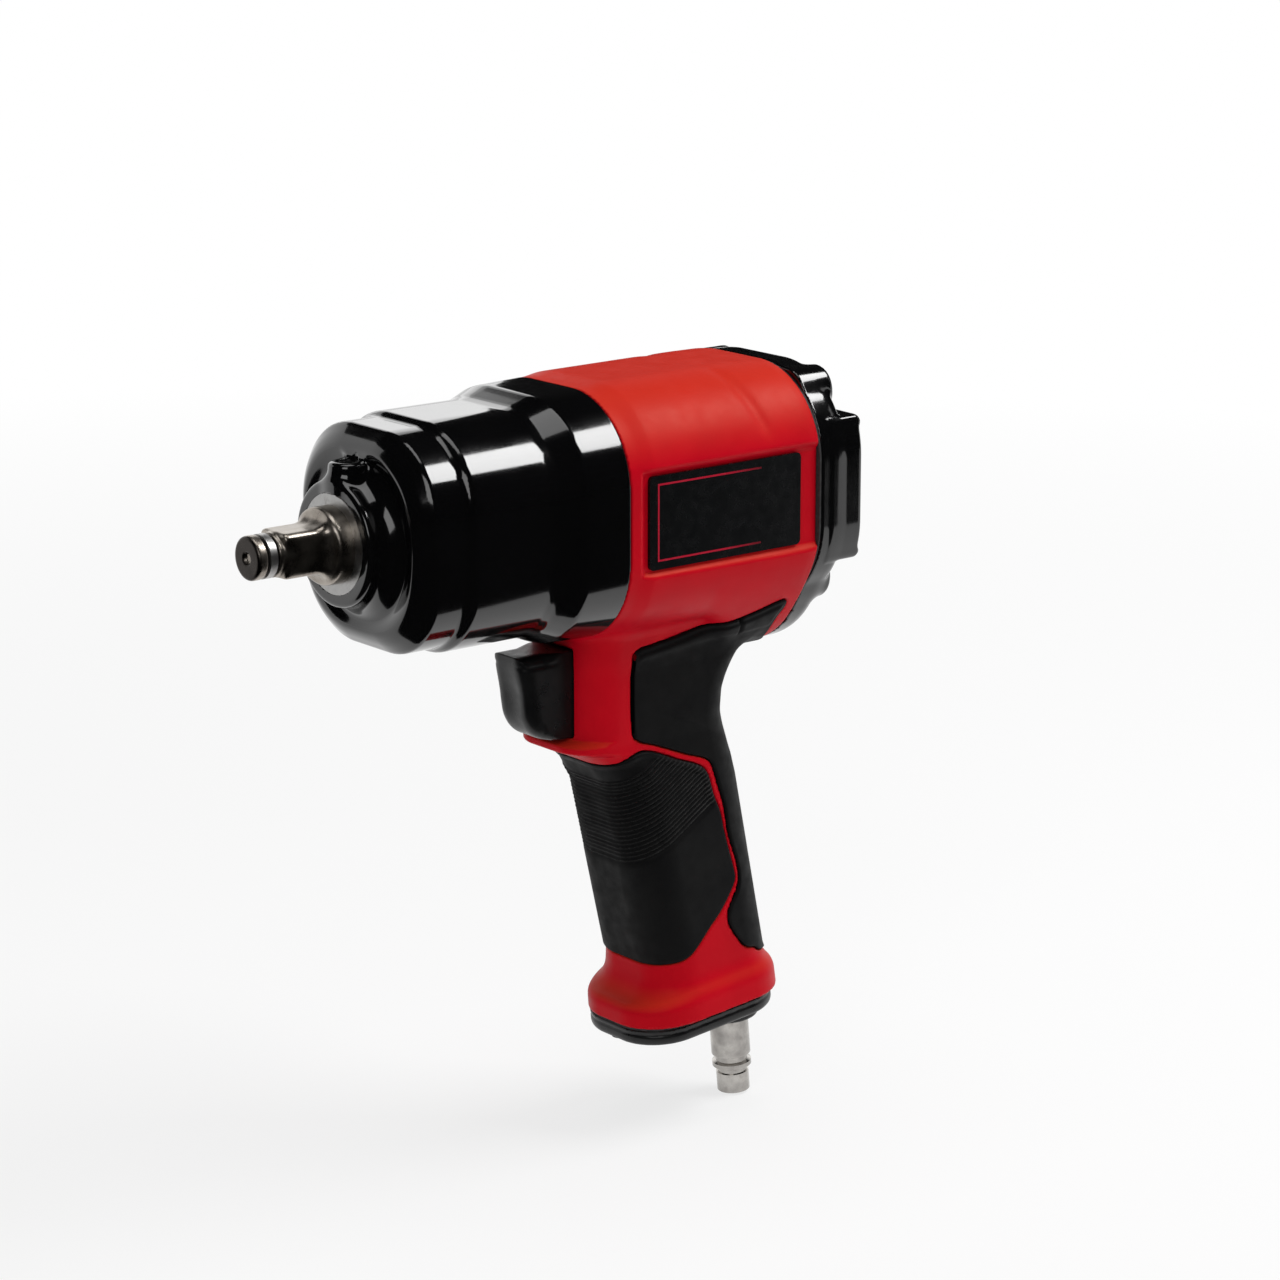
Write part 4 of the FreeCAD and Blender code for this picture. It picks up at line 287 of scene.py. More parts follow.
def pad_shell(region, s, y, d):
    """Rubber laid into the handle inside an outline, with soft edges."""
    skin = outer_skin(s, y, d)
    shape = smooth_max(skin - PAD_PROUD, region(s, d), 0.9)
    return np.maximum(np.maximum(shape, -skin - PAD_THICKNESS), BARREL_CLEARANCE - np.hypot(y, d))


def front_pad(s, y, d):
    """Front grip: curved finger ribs stand in a sunk field across its upper half."""
    phase = d + RIB_SLOPE * (s - RIB_START)
    ribbed = fade(phase, RIB_BOTTOM + 0.5, 0.3) * fade(-phase, -RIB_TOP, 0.3)
    ribs = ribbed * (0.5 - 0.5 * np.cos(2 * math.pi * (phase - RIB_BOTTOM) / RIB_PITCH)) ** 2
    inner = fade(FRONT_PAD(s, d), -1.6, 0.25)
    return pad_shell(FRONT_PAD, s, y, d) + 0.6 * inner * (1 - ribs) * fade(phase, RIB_BOTTOM + 0.7, 0.3)


def rear_pad(s, y, d):
    """Rear grip: a raised arm above the handle with a slanted groove, and a low ridge for the thumb."""
    crossing = np.abs((s - 157.2) - 0.45 * (d - 44))
    above = fade(d + 0.1 * (s - 133), 43.6, 0.35)
    groove = 0.9 * np.exp(-(crossing / 0.6) ** 2) * above
    ridge = 0.55 * bump(d - 61.9 - 0.487 * (s - 131.8), 0, 1.3) * bump(s, 142, 9)
    inner = fade(REAR_PAD(s, d), -2.0, 0.3)
    return pad_shell(REAR_PAD, s, y, d) + groove - (0.7 * above + ridge) * inner


POCKET_END, ROD_BORE = 112.6, 4.2


def trigger_pocket(s, y, d):
    middle = (TRIGGER_TOP + TRIGGER_BOTTOM) / 2
    half = (TRIGGER_BOTTOM - TRIGGER_TOP) / 2
    section = rounded_box(y, d - middle, TRIGGER_HALF + TRIGGER_GAP, half + TRIGGER_GAP, 0.8)
    return np.maximum(section, s - POCKET_END)


def slanted_bar(s, y, d, top, bottom, radius, side=0.0):
    """Round passage between two (station, depth) points."""
    run, drop = bottom[0] - top[0], bottom[1] - top[1]
    length = math.hypot(run, drop)
    along = ((s - top[0]) * run + (d - top[1]) * drop) / length
    across = ((s - top[0]) * drop - (d - top[1]) * run) / length
    return bar(along, np.hypot(across, y - side), 0, length, radius)


# Rooms above each other in the handle: station, top, bottom, radius.
HANDLE_ROOMS = [(143.5, 48.4, 64.3, 7.5), (142, 63.8, 79.6, 9.0)]
# Passages: (station, depth) at the top and at the bottom, and radius.
INLET_PASSAGE = ((143, 77.6), (169, 145.9), 5.0)
EXHAUST_PASSAGE, EXHAUST_SIDE = ((124, 25.5), (143, 150.4), 3.4), 9.6
INSERT_BORE = 7.6


def motor_housing(s, y, d):
    """Barrel and handle in one moulding, hollowed for the motor, valve, passages and pads."""
    shape = outer_skin(s, y, d)
    skin = shape
    for region in (FRONT_PAD, REAR_PAD):
        seat = np.maximum(region(s, d) - PAD_CLEARANCE, -skin - PAD_THICKNESS - 0.1)
        shape = smooth_max(shape, -np.maximum(seat, BARREL_CLEARANCE + 0.1 - np.hypot(y, d)), 0.4)
    shape = np.maximum(shape, -bar(s, np.hypot(y, d), 100, 176, MOTOR_BORE))
    shape = np.maximum(shape, -screw_holes(s, y, d, 100, 176, COVER_SCREW_HOLE))
    shape = np.maximum(shape, -trigger_pocket(s, y, d))
    shape = np.maximum(shape, -bar(s, np.hypot(y, d - ROD_DEPTH), 112, 138, ROD_BORE))
    for station, top, bottom, radius in HANDLE_ROOMS:
        shape = np.maximum(shape, -bar(d, np.hypot(s - station, y), top, bottom, radius))
    shape = np.maximum(shape, -slanted_bar(s, y, d, *INLET_PASSAGE))
    for side in (EXHAUST_SIDE, -EXHAUST_SIDE):
        shape = np.maximum(shape, -slanted_bar(s, y, d, *EXHAUST_PASSAGE, side))
    reach, drop = base_frame(s, d)
    muffler_room = np.maximum(rounded_box(reach + 26.75, y, 10.35, 13.1, 4), -9.05 - drop)
    muffler_room = np.maximum(muffler_room, 1.2 + skin)
    shape = np.maximum(shape, -muffler_room)
    shape = np.maximum(shape, -np.maximum(np.hypot(reach, y) - INSERT_BORE, -10 - drop))
    for place in BASE_SCREW_REACHES:
        shape = np.maximum(shape, -np.maximum(np.hypot(reach - place, y) - 2, -3.6 - drop))
    return shape


# ---------------------------------------------------------------- rear cover, trigger, base, anvil

COVER_HALVES = [(174.6, 36.4), (181, 36.2), (185.6, 35.6), (191, 34.6)]
BLOCK_HALVES = [(176.4, 34.6), (178.4, 36.3), (193, 36.1)]
BLOCK_END = 192.6
KNOB_START, KNOB_WELL = 185.0, 15.4


def rear_cover(s, y, d):
    """End cover: flush sides, stepped shoulders, screw bosses and a proud middle block with lips."""
    half = profile(s, COVER_HALVES)
    section = rounded_box(y, d, half, half, CORNER_SHARE * half)
    body = smooth_max(section, s - COVER_FACE + 0.028 * (y / 10) ** 2, 3.4)
    lip = 0.9 * bump(np.abs(d), 19.6, 1.5)
    face = BLOCK_END - 0.7 + lip - 0.0012 * y ** 2
    width = profile(s, BLOCK_HALVES)
    block = rounded_box(y, d, width, width, CORNER_SHARE * width)
    block = smooth_max(block - 0.15 * bump(np.abs(d), 20.0, 1.4), s - face, 1.0)
    block = smooth_max(block, np.abs(d) - 21.4, 0.9)
    across = np.hypot(np.abs(y) - SCREW_SIDE, np.abs(d) - SCREW_DEPTH)
    boss = smooth_max(across - 7.0, s - COVER_FACE - 0.9, 1.0)
    shape = smooth_min(smooth_min(body, boss, 1.6), block, 0.8)
    shape = smooth_max(shape, COVER_START - s, 0.6)
    keel = smooth_max(np.hypot(y, d - KEEL_DROP) - KEEL_RADIUS + 0.3, s - COVER_FACE + 1.5, 6.0)
    shape = smooth_min(shape, np.maximum(keel, COVER_START - s), 2.0)
    radius = np.hypot(y, d)
    spigot = np.maximum(bar(s, radius, 157.1, COVER_START + 1, MOTOR_BORE - 0.1), 25.4 - radius)
    hub = bar(s, radius, 166.0, COVER_START + 1, 14)
    shape = np.minimum(np.minimum(shape, spigot), hub)
    manifold = np.maximum(bar(s, radius, COVER_START - 1, COVER_FACE - 3, 25.4), 14 - radius)
    shape = np.maximum(shape, -manifold)
    shape = np.maximum(shape, -bar(s, radius, 160, 196, 9.05))
    well = bar(s, radius, KNOB_START, 196, KNOB_WELL + 0.6 * np.clip(s - COVER_END + 1.2, 0, 2))
    shape = smooth_max(shape, -well, 0.5)
    shape = np.maximum(shape, -bar(s, across, 170, 196, COVER_SCREW_HOLE))
    shape = smooth_max(shape, -bar(s, across, 180.6, 196, COVER_SCREW_WELL), 0.4)
    return np.maximum(shape, -bar(s, np.hypot(y, d - 11.6), 176.8, 186, 1.65))


TRIGGER_SIDE = Region([
    (86.9, 41.0, True), (87.0, 43.5), (87.6, 47.5), (88.4, 52), (89.0, 56.4), (89.9, 60.4), (91.9, 63.8),
    (94.6, 65.9), (98.0, 66.8, True), (106.1, 66.8, True), (106.1, 41.0, True)])


def trigger(s, y, d):
    """Finger lever: hooked nose at the top, hollowed finger face and rounded sides."""
    outline = TRIGGER_SIDE(s, d)
    hollow = 0.9 * np.exp(-(y / 4.6) ** 2) * bump(d, 53, 7.5)
    ahead = np.clip((101 - s) / 6, 0, 1)
    side = np.abs(y) - TRIGGER_HALF + 0.35 * bump(d, 44.0, 0.7) * ahead
    shape = smooth_max(outline + hollow * ahead, side, 0.25 + 4.2 * ahead)
    shape = np.maximum(shape, -bar(s, np.hypot(y, d - ROD_DEPTH), 91.1, 108, 2.02))
    shape = np.maximum(shape, -bar(s, np.hypot(y, d - ROD_DEPTH), 100.1, 108, 4.1))
    return np.maximum(shape, -np.maximum(np.hypot(s - 94.7, d - ROD_DEPTH) - 1.02, np.abs(y) - 7.3))


PILOT_RADIUS, DRIVE_HALF = 6.2, 6.35
JAWS = [(60.0, -5.4), (71.6, 5.4)]
ANVIL_RADII = [(46.35, 49.35, 17.0), (49.3, 53.8, 12.9), (53.7, 77.4, 8.8), (77.3, 82.7, 5.0)]


def anvil(s, y, d):
    """Square drive with its pilot, friction-ring groove and collar, then flange, shaft and jaws."""
    radius = np.hypot(y, d)
    pilot = smooth_max(radius - PILOT_RADIUS, -s, 1.1)
    groove = np.maximum(np.abs(s - 5.1) - 1.9, 4.4 - radius)
    pilot = smooth_max(np.maximum(pilot, s - 22), -groove, 0.5)
    square = rounded_box(y, d, DRIVE_HALF, DRIVE_HALF, 1.2)
    square = smooth_max(square, 8.4 - s + 0.16 * np.maximum(radius - PILOT_RADIUS, 0), 1.2)
    square = smooth_max(square, radius - 8.3, 0.8)
    square = np.maximum(square, s - 25)
    collar = smooth_max(radius - COLLAR_RADIUS, 23.2 - s, 1.4)
    collar = np.maximum(collar, s - 46.4)
    shape = smooth_min(smooth_min(pilot, square, 0.5), collar, 5.0)
    for start, end, size in ANVIL_RADII:
        shape = np.minimum(shape, bar(s, radius, start, end, size))
    for station, depth in JAWS:
        jaw = np.maximum(np.abs(y) - 3.5, np.abs(d - depth) - 5.3)
        shape = np.minimum(shape, np.maximum(jaw, np.abs(s - station) - 5.7))
    return smooth_max(shape, -bar(s, radius, -1, 0.9, 1.3 + 0.6 * np.clip(0.9 - s, 0, 1)), 0.3)


VENT_REACHES = [-32.4 + 4.4 * index for index in range(4)]


def base_cover(s, y, d):
    """End plate with a rounded rim, a raised inlet boss, exhaust slots and screw seats."""
    reach, drop = base_frame(s, d)
    outline = rounded_box(reach + TOE_REACH, y, 27.2, 19.6, TOE_CORNER)
    plate = smooth_max(outline, drop - 5.8, 2.2)
    plate = np.maximum(plate, 0.8 - drop)
    edge = 0.35 * bump(drop, 2.2, 0.45)
    boss = smooth_max(np.hypot(reach, y) - 9.2, drop - 12.3, 1.0)
    boss = np.maximum(boss, 2 - drop)
    tier = smooth_max(rounded_box(reach + 2.2, y, 11.2, 12.4, 8), drop - 8.4, 1.4)
    tier = np.maximum(tier, 2 - drop)
    shape = smooth_min(smooth_min(plate + edge, tier, 1.2), boss, 1.2)
    shape = np.maximum(shape, -bar(drop, np.hypot(reach, y), -1, 14, 5.2))
    for place in VENT_REACHES:
        slot = rounded_box(reach - place, y, 1.2, 9, 1.2)
        shape = smooth_max(shape, -np.maximum(slot, -1 - drop), 0.3)
    for place in BASE_SCREW_REACHES:
        across = np.hypot(reach - place, y)
        shape = np.maximum(shape, -bar(drop, across, -1, 14, 2.05))
        shape = smooth_max(shape, -bar(drop, across, 3.2, 14, 3.5), 0.3)
    return shape


# ---------------------------------------------------------------- meshes

CELL = np.array([(i, j, k) for i in (0, 1) for j in (0, 1) for k in (0, 1)])
CELL_EDGES = [(a, b) for a in range(8) for b in range(a + 1, 8) if np.abs(CELL[a] - CELL[b]).sum() == 1]


def surface_net(field, low, high, step):
    """Vertices and quads of a field's zero surface, one vertex in each cell that it crosses."""
    axes = [np.arange(a, b + step, step) for a, b in zip(low, high)]
    size = tuple(len(axis) for axis in axes)
    values = np.broadcast_to(field(*np.meshgrid(*axes, indexing="ij", sparse=True)), size)
    inside = values < 0
    corners = [inside[i:size[0] - 1 + i, j:size[1] - 1 + j, k:size[2] - 1 + k] for i, j, k in CELL]
    count = sum(corner.astype(np.int8) for corner in corners)
    cells = np.argwhere((count > 0) & (count < 8))
    number = np.full(count.shape, -1)
    number[tuple(cells.T)] = np.arange(len(cells))
    heights = np.array([values[tuple((cells + corner).T)] for corner in CELL])
    total, crossings = np.zeros((len(cells), 3)), np.zeros(len(cells))
    for a, b in CELL_EDGES:
        crossed = (heights[a] < 0) != (heights[b] < 0)
        drop = np.where(crossed, heights[a] - heights[b], 1)
        share = (heights[a] / drop)[:, None]
        total += np.where(crossed[:, None], CELL[a] + share * (CELL[b] - CELL[a]), 0)
        crossings += crossed
    vertices = np.array(low) + step * (cells + total / crossings[:, None])
    quads = []
    for axis in range(3):
        first, second = (axis + 1) % 3, (axis + 2) % 3
        ahead = np.take(inside, range(1, size[axis]), axis)
        behind = np.take(inside, range(size[axis] - 1), axis)
        edges = np.argwhere(ahead != behind)
        keep = np.all([(edges[:, k] > 0) & (edges[:, k] < size[k] - 1) for k in (first, second)], axis=0)
        edges = edges[keep]
        ring = []
        for u, v in ((0, 0), (1, 0), (1, 1), (0, 1)):
            cell = edges.copy()
            cell[:, first] -= u
            cell[:, second] -= v
            ring.append(number[tuple(cell.T)])
        ring = np.array(ring).T
        flipped = ahead[tuple(edges.T)]
        quads.append(np.where(flipped[:, None], ring[:, ::-1], ring))
    return vertices, np.concatenate(quads)


def slope_of(field, points, reach=0.15):
    parts = []
    for axis in np.eye(3) * reach:
        parts.append(field(*(points + axis).T) - field(*(points - axis).T))
    return np.array(parts).T / (2 * reach)


def solid_mesh(name, field, low, high, step):
    """Mesh of a field, drawn onto its surface and shaded by the field's own slope."""
    vertices, quads = surface_net(field, low, high, step)
    for _ in range(2):
        slope = slope_of(field, vertices)
        squared = np.maximum((slope ** 2).sum(1), 0.25)
        move = -(field(*vertices.T) / squared)[:, None] * slope
        longest = np.maximum(np.linalg.norm(move, axis=1) / (0.35 * step), 1)
        vertices = vertices + move / longest[:, None]
    slope = slope_of(field, vertices, 0.3 * step)
    facing = slope / np.maximum(np.linalg.norm(slope, axis=1), 1e-6)[:, None]
    mirror = np.array([-1, 1, -1])
    mesh = bpy.data.meshes.new(name)
    mesh.from_pydata((vertices * mirror * MM).tolist(), [], quads.tolist())
    mesh.validate()
    mesh.polygons.foreach_set("use_smooth", [True] * len(mesh.polygons))
    mesh.normals_split_custom_set_from_vertices((facing * mirror).tolist())
    piece = bpy.data.objects.new(name, mesh)
    bpy.context.collection.objects.link(piece)
    return piece


# ---------------------------------------------------------------- finishes

class Finish:
    """A node material on a Principled shader, with helpers for the patterns all finishes use."""

    def __init__(self, name, **sockets):
        self.material = bpy.data.materials.new(name)
        self.material.use_nodes = True
        self.tree = self.material.node_tree
        self.shader = self.tree.nodes["Principled BSDF"]
        for socket, value in sockets.items():
            self.shader.inputs[socket.replace("_", " ")].default_value = value
        place = self.node("ShaderNodeTexCoord")
        self.place = place.outputs["Object"]

    def node(self, kind, **settings):
        item = self.tree.nodes.new(kind)
        for setting, value in settings.items():
            setattr(item, setting, value)
        return item

    def link(self, source, target):
        self.tree.links.new(source, target)

    def feed(self, socket, value):
        if hasattr(value, "is_linked"):
            self.link(value, socket)
        else:
            socket.default_value = value

    def math(self, operation, a, b=0.0):
        item = self.node("ShaderNodeMath", operation=operation)
        self.feed(item.inputs[0], a)
        self.feed(item.inputs[1], b)
        return item.outputs[0]

    def stretched(self, scale):
        item = self.node("ShaderNodeMapping")
        item.inputs["Scale"].default_value = scale
        self.link(self.place, item.inputs["Vector"])
        return item.outputs["Vector"]

    def noise(self, size_mm, detail=3.0, stretch=(1, 1, 1)):
        item = self.node("ShaderNodeTexNoise")
        item.inputs["Scale"].default_value = 1000.0 / size_mm
        item.inputs["Detail"].default_value = detail
        self.link(self.stretched(stretch), item.inputs["Vector"])
        return item.outputs["Fac"]

    def grain(self, size_mm):
        item = self.node("ShaderNodeTexVoronoi")
        item.inputs["Scale"].default_value = 1000.0 / size_mm
        self.link(self.place, item.inputs["Vector"])
        return item.outputs["Distance"]

    def span(self, value, low, high, start=0.0, end=1.0):
        """Value rescaled from low..high to start..end."""
        item = self.node("ShaderNodeMapRange")
        self.feed(item.inputs["Value"], value)
        for socket, number in (("From Min", low), ("From Max", high), ("To Min", start), ("To Max", end)):
            item.inputs[socket].default_value = number
        return item.outputs["Result"]

    def mix(self, share, first, second):
        item = self.node("ShaderNodeMix", data_type="RGBA")
        self.feed(item.inputs["Factor"], share)
        for socket, value in ((item.inputs[6], first), (item.inputs[7], second)):
            self.feed(socket, value if hasattr(value, "is_linked") else (*value, 1.0))
        return item.outputs[2]

    def edges(self, radius_mm, low=0.02, high=0.25):
        """Mask that is 1 on outer and inner edges."""
        soft = self.node("ShaderNodeBevel", samples=4)
        soft.inputs["Radius"].default_value = radius_mm * MM
        flat = self.node("ShaderNodeNewGeometry")
        turn = self.node("ShaderNodeVectorMath", operation="DOT_PRODUCT")
        self.link(soft.outputs["Normal"], turn.inputs[0])
        self.link(flat.outputs["Normal"], turn.inputs[1])
        return self.span(self.math("SUBTRACT", 1.0, turn.outputs["Value"]), low, high)

    def colour(self, source):
        self.link(source, self.shader.inputs["Base Color"])

    def roughness(self, source):
        self.link(source, self.shader.inputs["Roughness"])

    def raise_by(self, height, strength, distance_mm):
        item = self.node("ShaderNodeBump")
        item.inputs["Strength"].default_value = strength
        item.inputs["Distance"].default_value = distance_mm * MM
        self.link(height, item.inputs["Height"])
        self.link(item.outputs["Normal"], self.shader.inputs["Normal"])


def axis_of(finish, axis):
    """One coordinate of the piece in millimetres."""
    split = finish.node("ShaderNodeSeparateXYZ")
    finish.link(finish.place, split.inputs[0])
    return finish.math("MULTIPLY", split.outputs[axis], 1000.0)


def painted(name, colour, roughness, orange_peel, worn, **sockets):
    """Lacquer: faint orange peel, slow drift of colour and paler rubbed edges."""
    finish = Finish(name, **sockets)
    drift = finish.span(finish.noise(22, 4), 0.35, 0.65)
    darker = tuple(0.82 * part for part in colour)
    body = finish.mix(drift, darker, colour)
    rubbed = finish.math("MULTIPLY", finish.edges(0.35), finish.span(finish.noise(1.6, 5), 0.5, 0.7, 0, 0.5))
    finish.colour(finish.mix(rubbed, body, worn))
    smear = finish.span(finish.noise(9, 5), 0.3, 0.75, roughness, roughness * 1.7)
    finish.roughness(finish.math("ADD", smear, finish.math("MULTIPLY", rubbed, 0.3)))
    finish.raise_by(finish.noise(orange_peel, 2), 0.03, 0.1)
    return finish


def gloss_black():
    return painted("gloss_black_lacquer", (0.0025, 0.0025, 0.0028), 0.08, 1.3, (0.05, 0.05, 0.052),
                   Coat_Weight=0.4, Coat_Roughness=0.04, IOR=1.5)


def cover_black():
    return painted("cover_black_lacquer", (0.003, 0.003, 0.0033), 0.08, 1.1, (0.05, 0.05, 0.052),
                   Coat_Weight=0.3, Coat_Roughness=0.05, IOR=1.5)


def red_composite():
    """Fine-textured red moulding with rubbed, slightly paler edges, and painted light: orange where it faces
    up.
    """
    finish = Finish("red_composite", IOR=1.5, Specular_IOR_Level=0.12, Specular_Tint=(1.0, 0.45, 0.2, 1.0))
    drift = finish.span(finish.noise(18, 5), 0.3, 0.7)
    body = finish.mix(drift, (0.48, 0.0006, 0.0105), (0.55, 0.0012, 0.012))
    specks = finish.span(finish.noise(0.5, 4), 0.62, 0.74, 0, 0.25)
    body = finish.mix(specks, body, (0.36, 0.004, 0.008))
    rubbed = finish.math("MULTIPLY", finish.edges(0.5),
                         finish.span(finish.noise(2.2, 5), 0.45, 0.7, 0.1, 0.5))
    body = finish.mix(rubbed, body, (0.62, 0.035, 0.03))
    # Painted light: faces that turn up are mixed towards orange, as if lit from above.
    flat = finish.node("ShaderNodeNewGeometry")
    split = finish.node("ShaderNodeSeparateXYZ")
    finish.link(flat.outputs["Normal"], split.inputs[0])
    painted_top_light = finish.span(split.outputs[2], 0.25, 0.9, 0.0, 0.7)
    finish.colour(finish.mix(painted_top_light, body, (0.56, 0.032, 0.012)))
    finish.roughness(finish.span(finish.noise(6, 6), 0.3, 0.7, 0.36, 0.48))
    finish.raise_by(finish.math("ADD", finish.noise(0.7, 4), finish.grain(0.9)), 0.16, 0.06)
    return finish


def rib_crests(finish):
    """Share that follows the crests of the finger ribs."""
    along = finish.math("MULTIPLY", axis_of(finish, 0), -1.0)
    slanted = finish.math("MULTIPLY", finish.math("SUBTRACT", along, RIB_START), RIB_SLOPE)
    phase = finish.math("SUBTRACT", slanted, axis_of(finish, 2))
    turn = finish.math("MULTIPLY", finish.math("SUBTRACT", phase, RIB_BOTTOM), 2 * math.pi / RIB_PITCH)
    crest = finish.span(finish.math("COSINE", turn), -0.45, -0.95)
    above = finish.span(phase, RIB_TOP, RIB_TOP + 0.8)
    below = finish.span(phase, RIB_BOTTOM + 0.3, RIB_BOTTOM - 0.5)
    rear = finish.span(along, 122, 150, 0.12, 0.75)
    patchy = finish.span(finish.noise(2.4, 5), 0.3, 0.65, 0.35, 1.0)
    share = finish.math("MULTIPLY", finish.math("MULTIPLY", crest, above), below)
    return finish.math("MULTIPLY", finish.math("MULTIPLY", share, rear), patchy)


def matt_rubber(name, ribbed=False):
    """Matt rubber with a leathery grain; the crests of the finger ribs are paler, more so to the rear."""
    finish = Finish(name, IOR=1.48, Specular_IOR_Level=0.13)
    drift = finish.span(finish.noise(14, 5), 0.3, 0.7)
    body = finish.mix(drift, (0.004, 0.004, 0.0045), (0.0062, 0.0062, 0.0062))
    dust = finish.math("MULTIPLY", finish.edges(0.6), finish.span(finish.noise(1.5, 5), 0.45, 0.7, 0.1, 0.5))
    body = finish.mix(dust, body, (0.032, 0.031, 0.03))
    if ribbed:
        body = finish.mix(rib_crests(finish), body, (0.075, 0.074, 0.072))
    finish.roughness(finish.span(finish.noise(4, 6), 0.3, 0.7, 0.5, 0.68))
    skin = finish.math("MULTIPLY", finish.math("ADD", finish.noise(0.5, 4), finish.grain(0.55)), 0.18)
    finish.colour(body)
    finish.raise_by(skin, 0.35, 0.12)
    return finish


def black_plastic():
    """Semi-gloss moulded plastic of the trigger, foot plate and knob."""
    finish = Finish("black_plastic", IOR=1.5, Specular_IOR_Level=0.35)
    body = finish.mix(finish.span(finish.noise(9, 5), 0.3, 0.7),
                      (0.0045, 0.0045, 0.005), (0.008, 0.008, 0.0084))
    worn = finish.math("MULTIPLY", finish.edges(0.4), finish.span(finish.noise(1.2, 5), 0.45, 0.7, 0.1, 0.6))
    finish.colour(finish.mix(worn, body, (0.06, 0.06, 0.06)))
    finish.roughness(finish.span(finish.noise(3, 6), 0.3, 0.7, 0.26, 0.4))
    finish.raise_by(finish.noise(0.6, 4), 0.12, 0.05)
    return finish


def label_film():
    """Glossy dark plate, bare but for a thin red line along its front, upper and lower edges."""
    finish = Finish("label_film", IOR=1.5, Specular_IOR_Level=0.2, Coat_Weight=0.1, Coat_Roughness=0.12)
    along = finish.math("MULTIPLY", axis_of(finish, 0), -1.0)
    height = finish.math("ABSOLUTE", axis_of(finish, 2))

    def band(value, centre, half):
        away = finish.math("ABSOLUTE", finish.math("SUBTRACT", value, centre))
        return finish.math("LESS_THAN", away, half)

    rail = finish.math("MULTIPLY", band(height, 10.9, 0.28), band(along, 133.0, 19.0))
    post = finish.math("MULTIPLY", band(along, 114.2, 0.28), finish.math("LESS_THAN", height, 11.18))
    line = finish.math("MAXIMUM", rail, post)
    faded = finish.math("MULTIPLY", line, finish.span(along, 138, 153, 1.0, 0.25))
    body = finish.mix(finish.span(finish.noise(8, 4), 0.3, 0.7),
                      (0.0028, 0.0032, 0.0036), (0.0042, 0.0046, 0.005))
    finish.colour(finish.mix(faded, body, (0.42, 0.008, 0.028)))
    finish.roughness(finish.span(finish.noise(3, 5), 0.3, 0.7, 0.2, 0.3))
    finish.raise_by(finish.noise(0.9, 3), 0.02, 0.02)
    return finish


SCRATCH_MM = 0.35


def metal(name, pale, dark, roughness, stretch=(1, 1, 1), stain=(0.12, 0.1, 0.085), wear=0.5, **sockets):
    """Machined metal: brushed lines, cloudy tone, darker stains and bright rubbed edges."""
    finish = Finish(name, Metallic=1.0, **sockets)
    cloud = finish.span(finish.noise(5, 5), 0.35, 0.7)
    lines = finish.noise(SCRATCH_MM, 3, stretch)
    body = finish.mix(cloud, dark, pale)
    body = finish.mix(finish.span(finish.noise(3.2, 6), 0.62, 0.78, 0, 0.55), body, stain)
    bright = tuple(min(1.0, 1.25 * part) for part in pale)
    finish.colour(finish.mix(finish.math("MULTIPLY", finish.edges(0.25), wear), body, bright))
    finish.roughness(finish.math("ADD", finish.span(cloud, 0, 1, roughness, roughness * 1.4),
                                 finish.span(lines, 0.3, 0.7, -0.04, 0.06)))
    finish.raise_by(lines, 0.12, 0.03)
    return finish


def brushed(name, pale, dark, roughness):
    """Turned steel, brushed round the axis of the tool."""
    return metal(name, pale, dark, roughness, (6.0, 0.6, 0.6), Anisotropic=0.35)


def drive_steel():
    """Warm brushed steel, blued dark on the end face and in the ring groove."""
    finish = brushed("drive_steel", (0.50, 0.455, 0.40), (0.30, 0.265, 0.23), 0.26)
    along = finish.math("MULTIPLY", axis_of(finish, 0), -1.0)
    tip = finish.span(along, 0.25, 0.9, 1.0, 0.0)
    groove = finish.span(finish.math("ABSOLUTE", finish.math("SUBTRACT", along, 5.1)), 1.7, 2.3, 0.75, 0.0)
    body = finish.shader.inputs["Base Color"].links[0].from_socket
    finish.colour(finish.mix(finish.math("MAXIMUM", tip, groove), body, (0.04, 0.034, 0.03)))
    return finish


def muffler_felt():
    finish = Finish("muffler_felt", Sheen_Weight=0.3, Sheen_Roughness=0.6)
    fibres = finish.noise(0.35, 6, (1, 5, 1))
    finish.colour(finish.mix(fibres, (0.12, 0.11, 0.1), (0.34, 0.32, 0.29)))
    finish.roughness(finish.span(finish.noise(2, 4), 0.3, 0.7, 0.85, 0.98))
    finish.raise_by(fibres, 0.5, 0.25)
    return finish


def sheet(name, first, second, roughness):
    """Gasket, seal and resin stock: mottled and slightly fibrous."""
    finish = Finish(name)
    finish.colour(finish.mix(finish.span(finish.noise(1.2, 6), 0.3, 0.7), first, second))
    finish.roughness(finish.span(finish.noise(2.5, 5), 0.3, 0.7, roughness, roughness + 0.12))
    finish.raise_by(finish.math("ADD", finish.noise(0.4, 4), finish.edges(0.3)), 0.2, 0.05)
    return finish


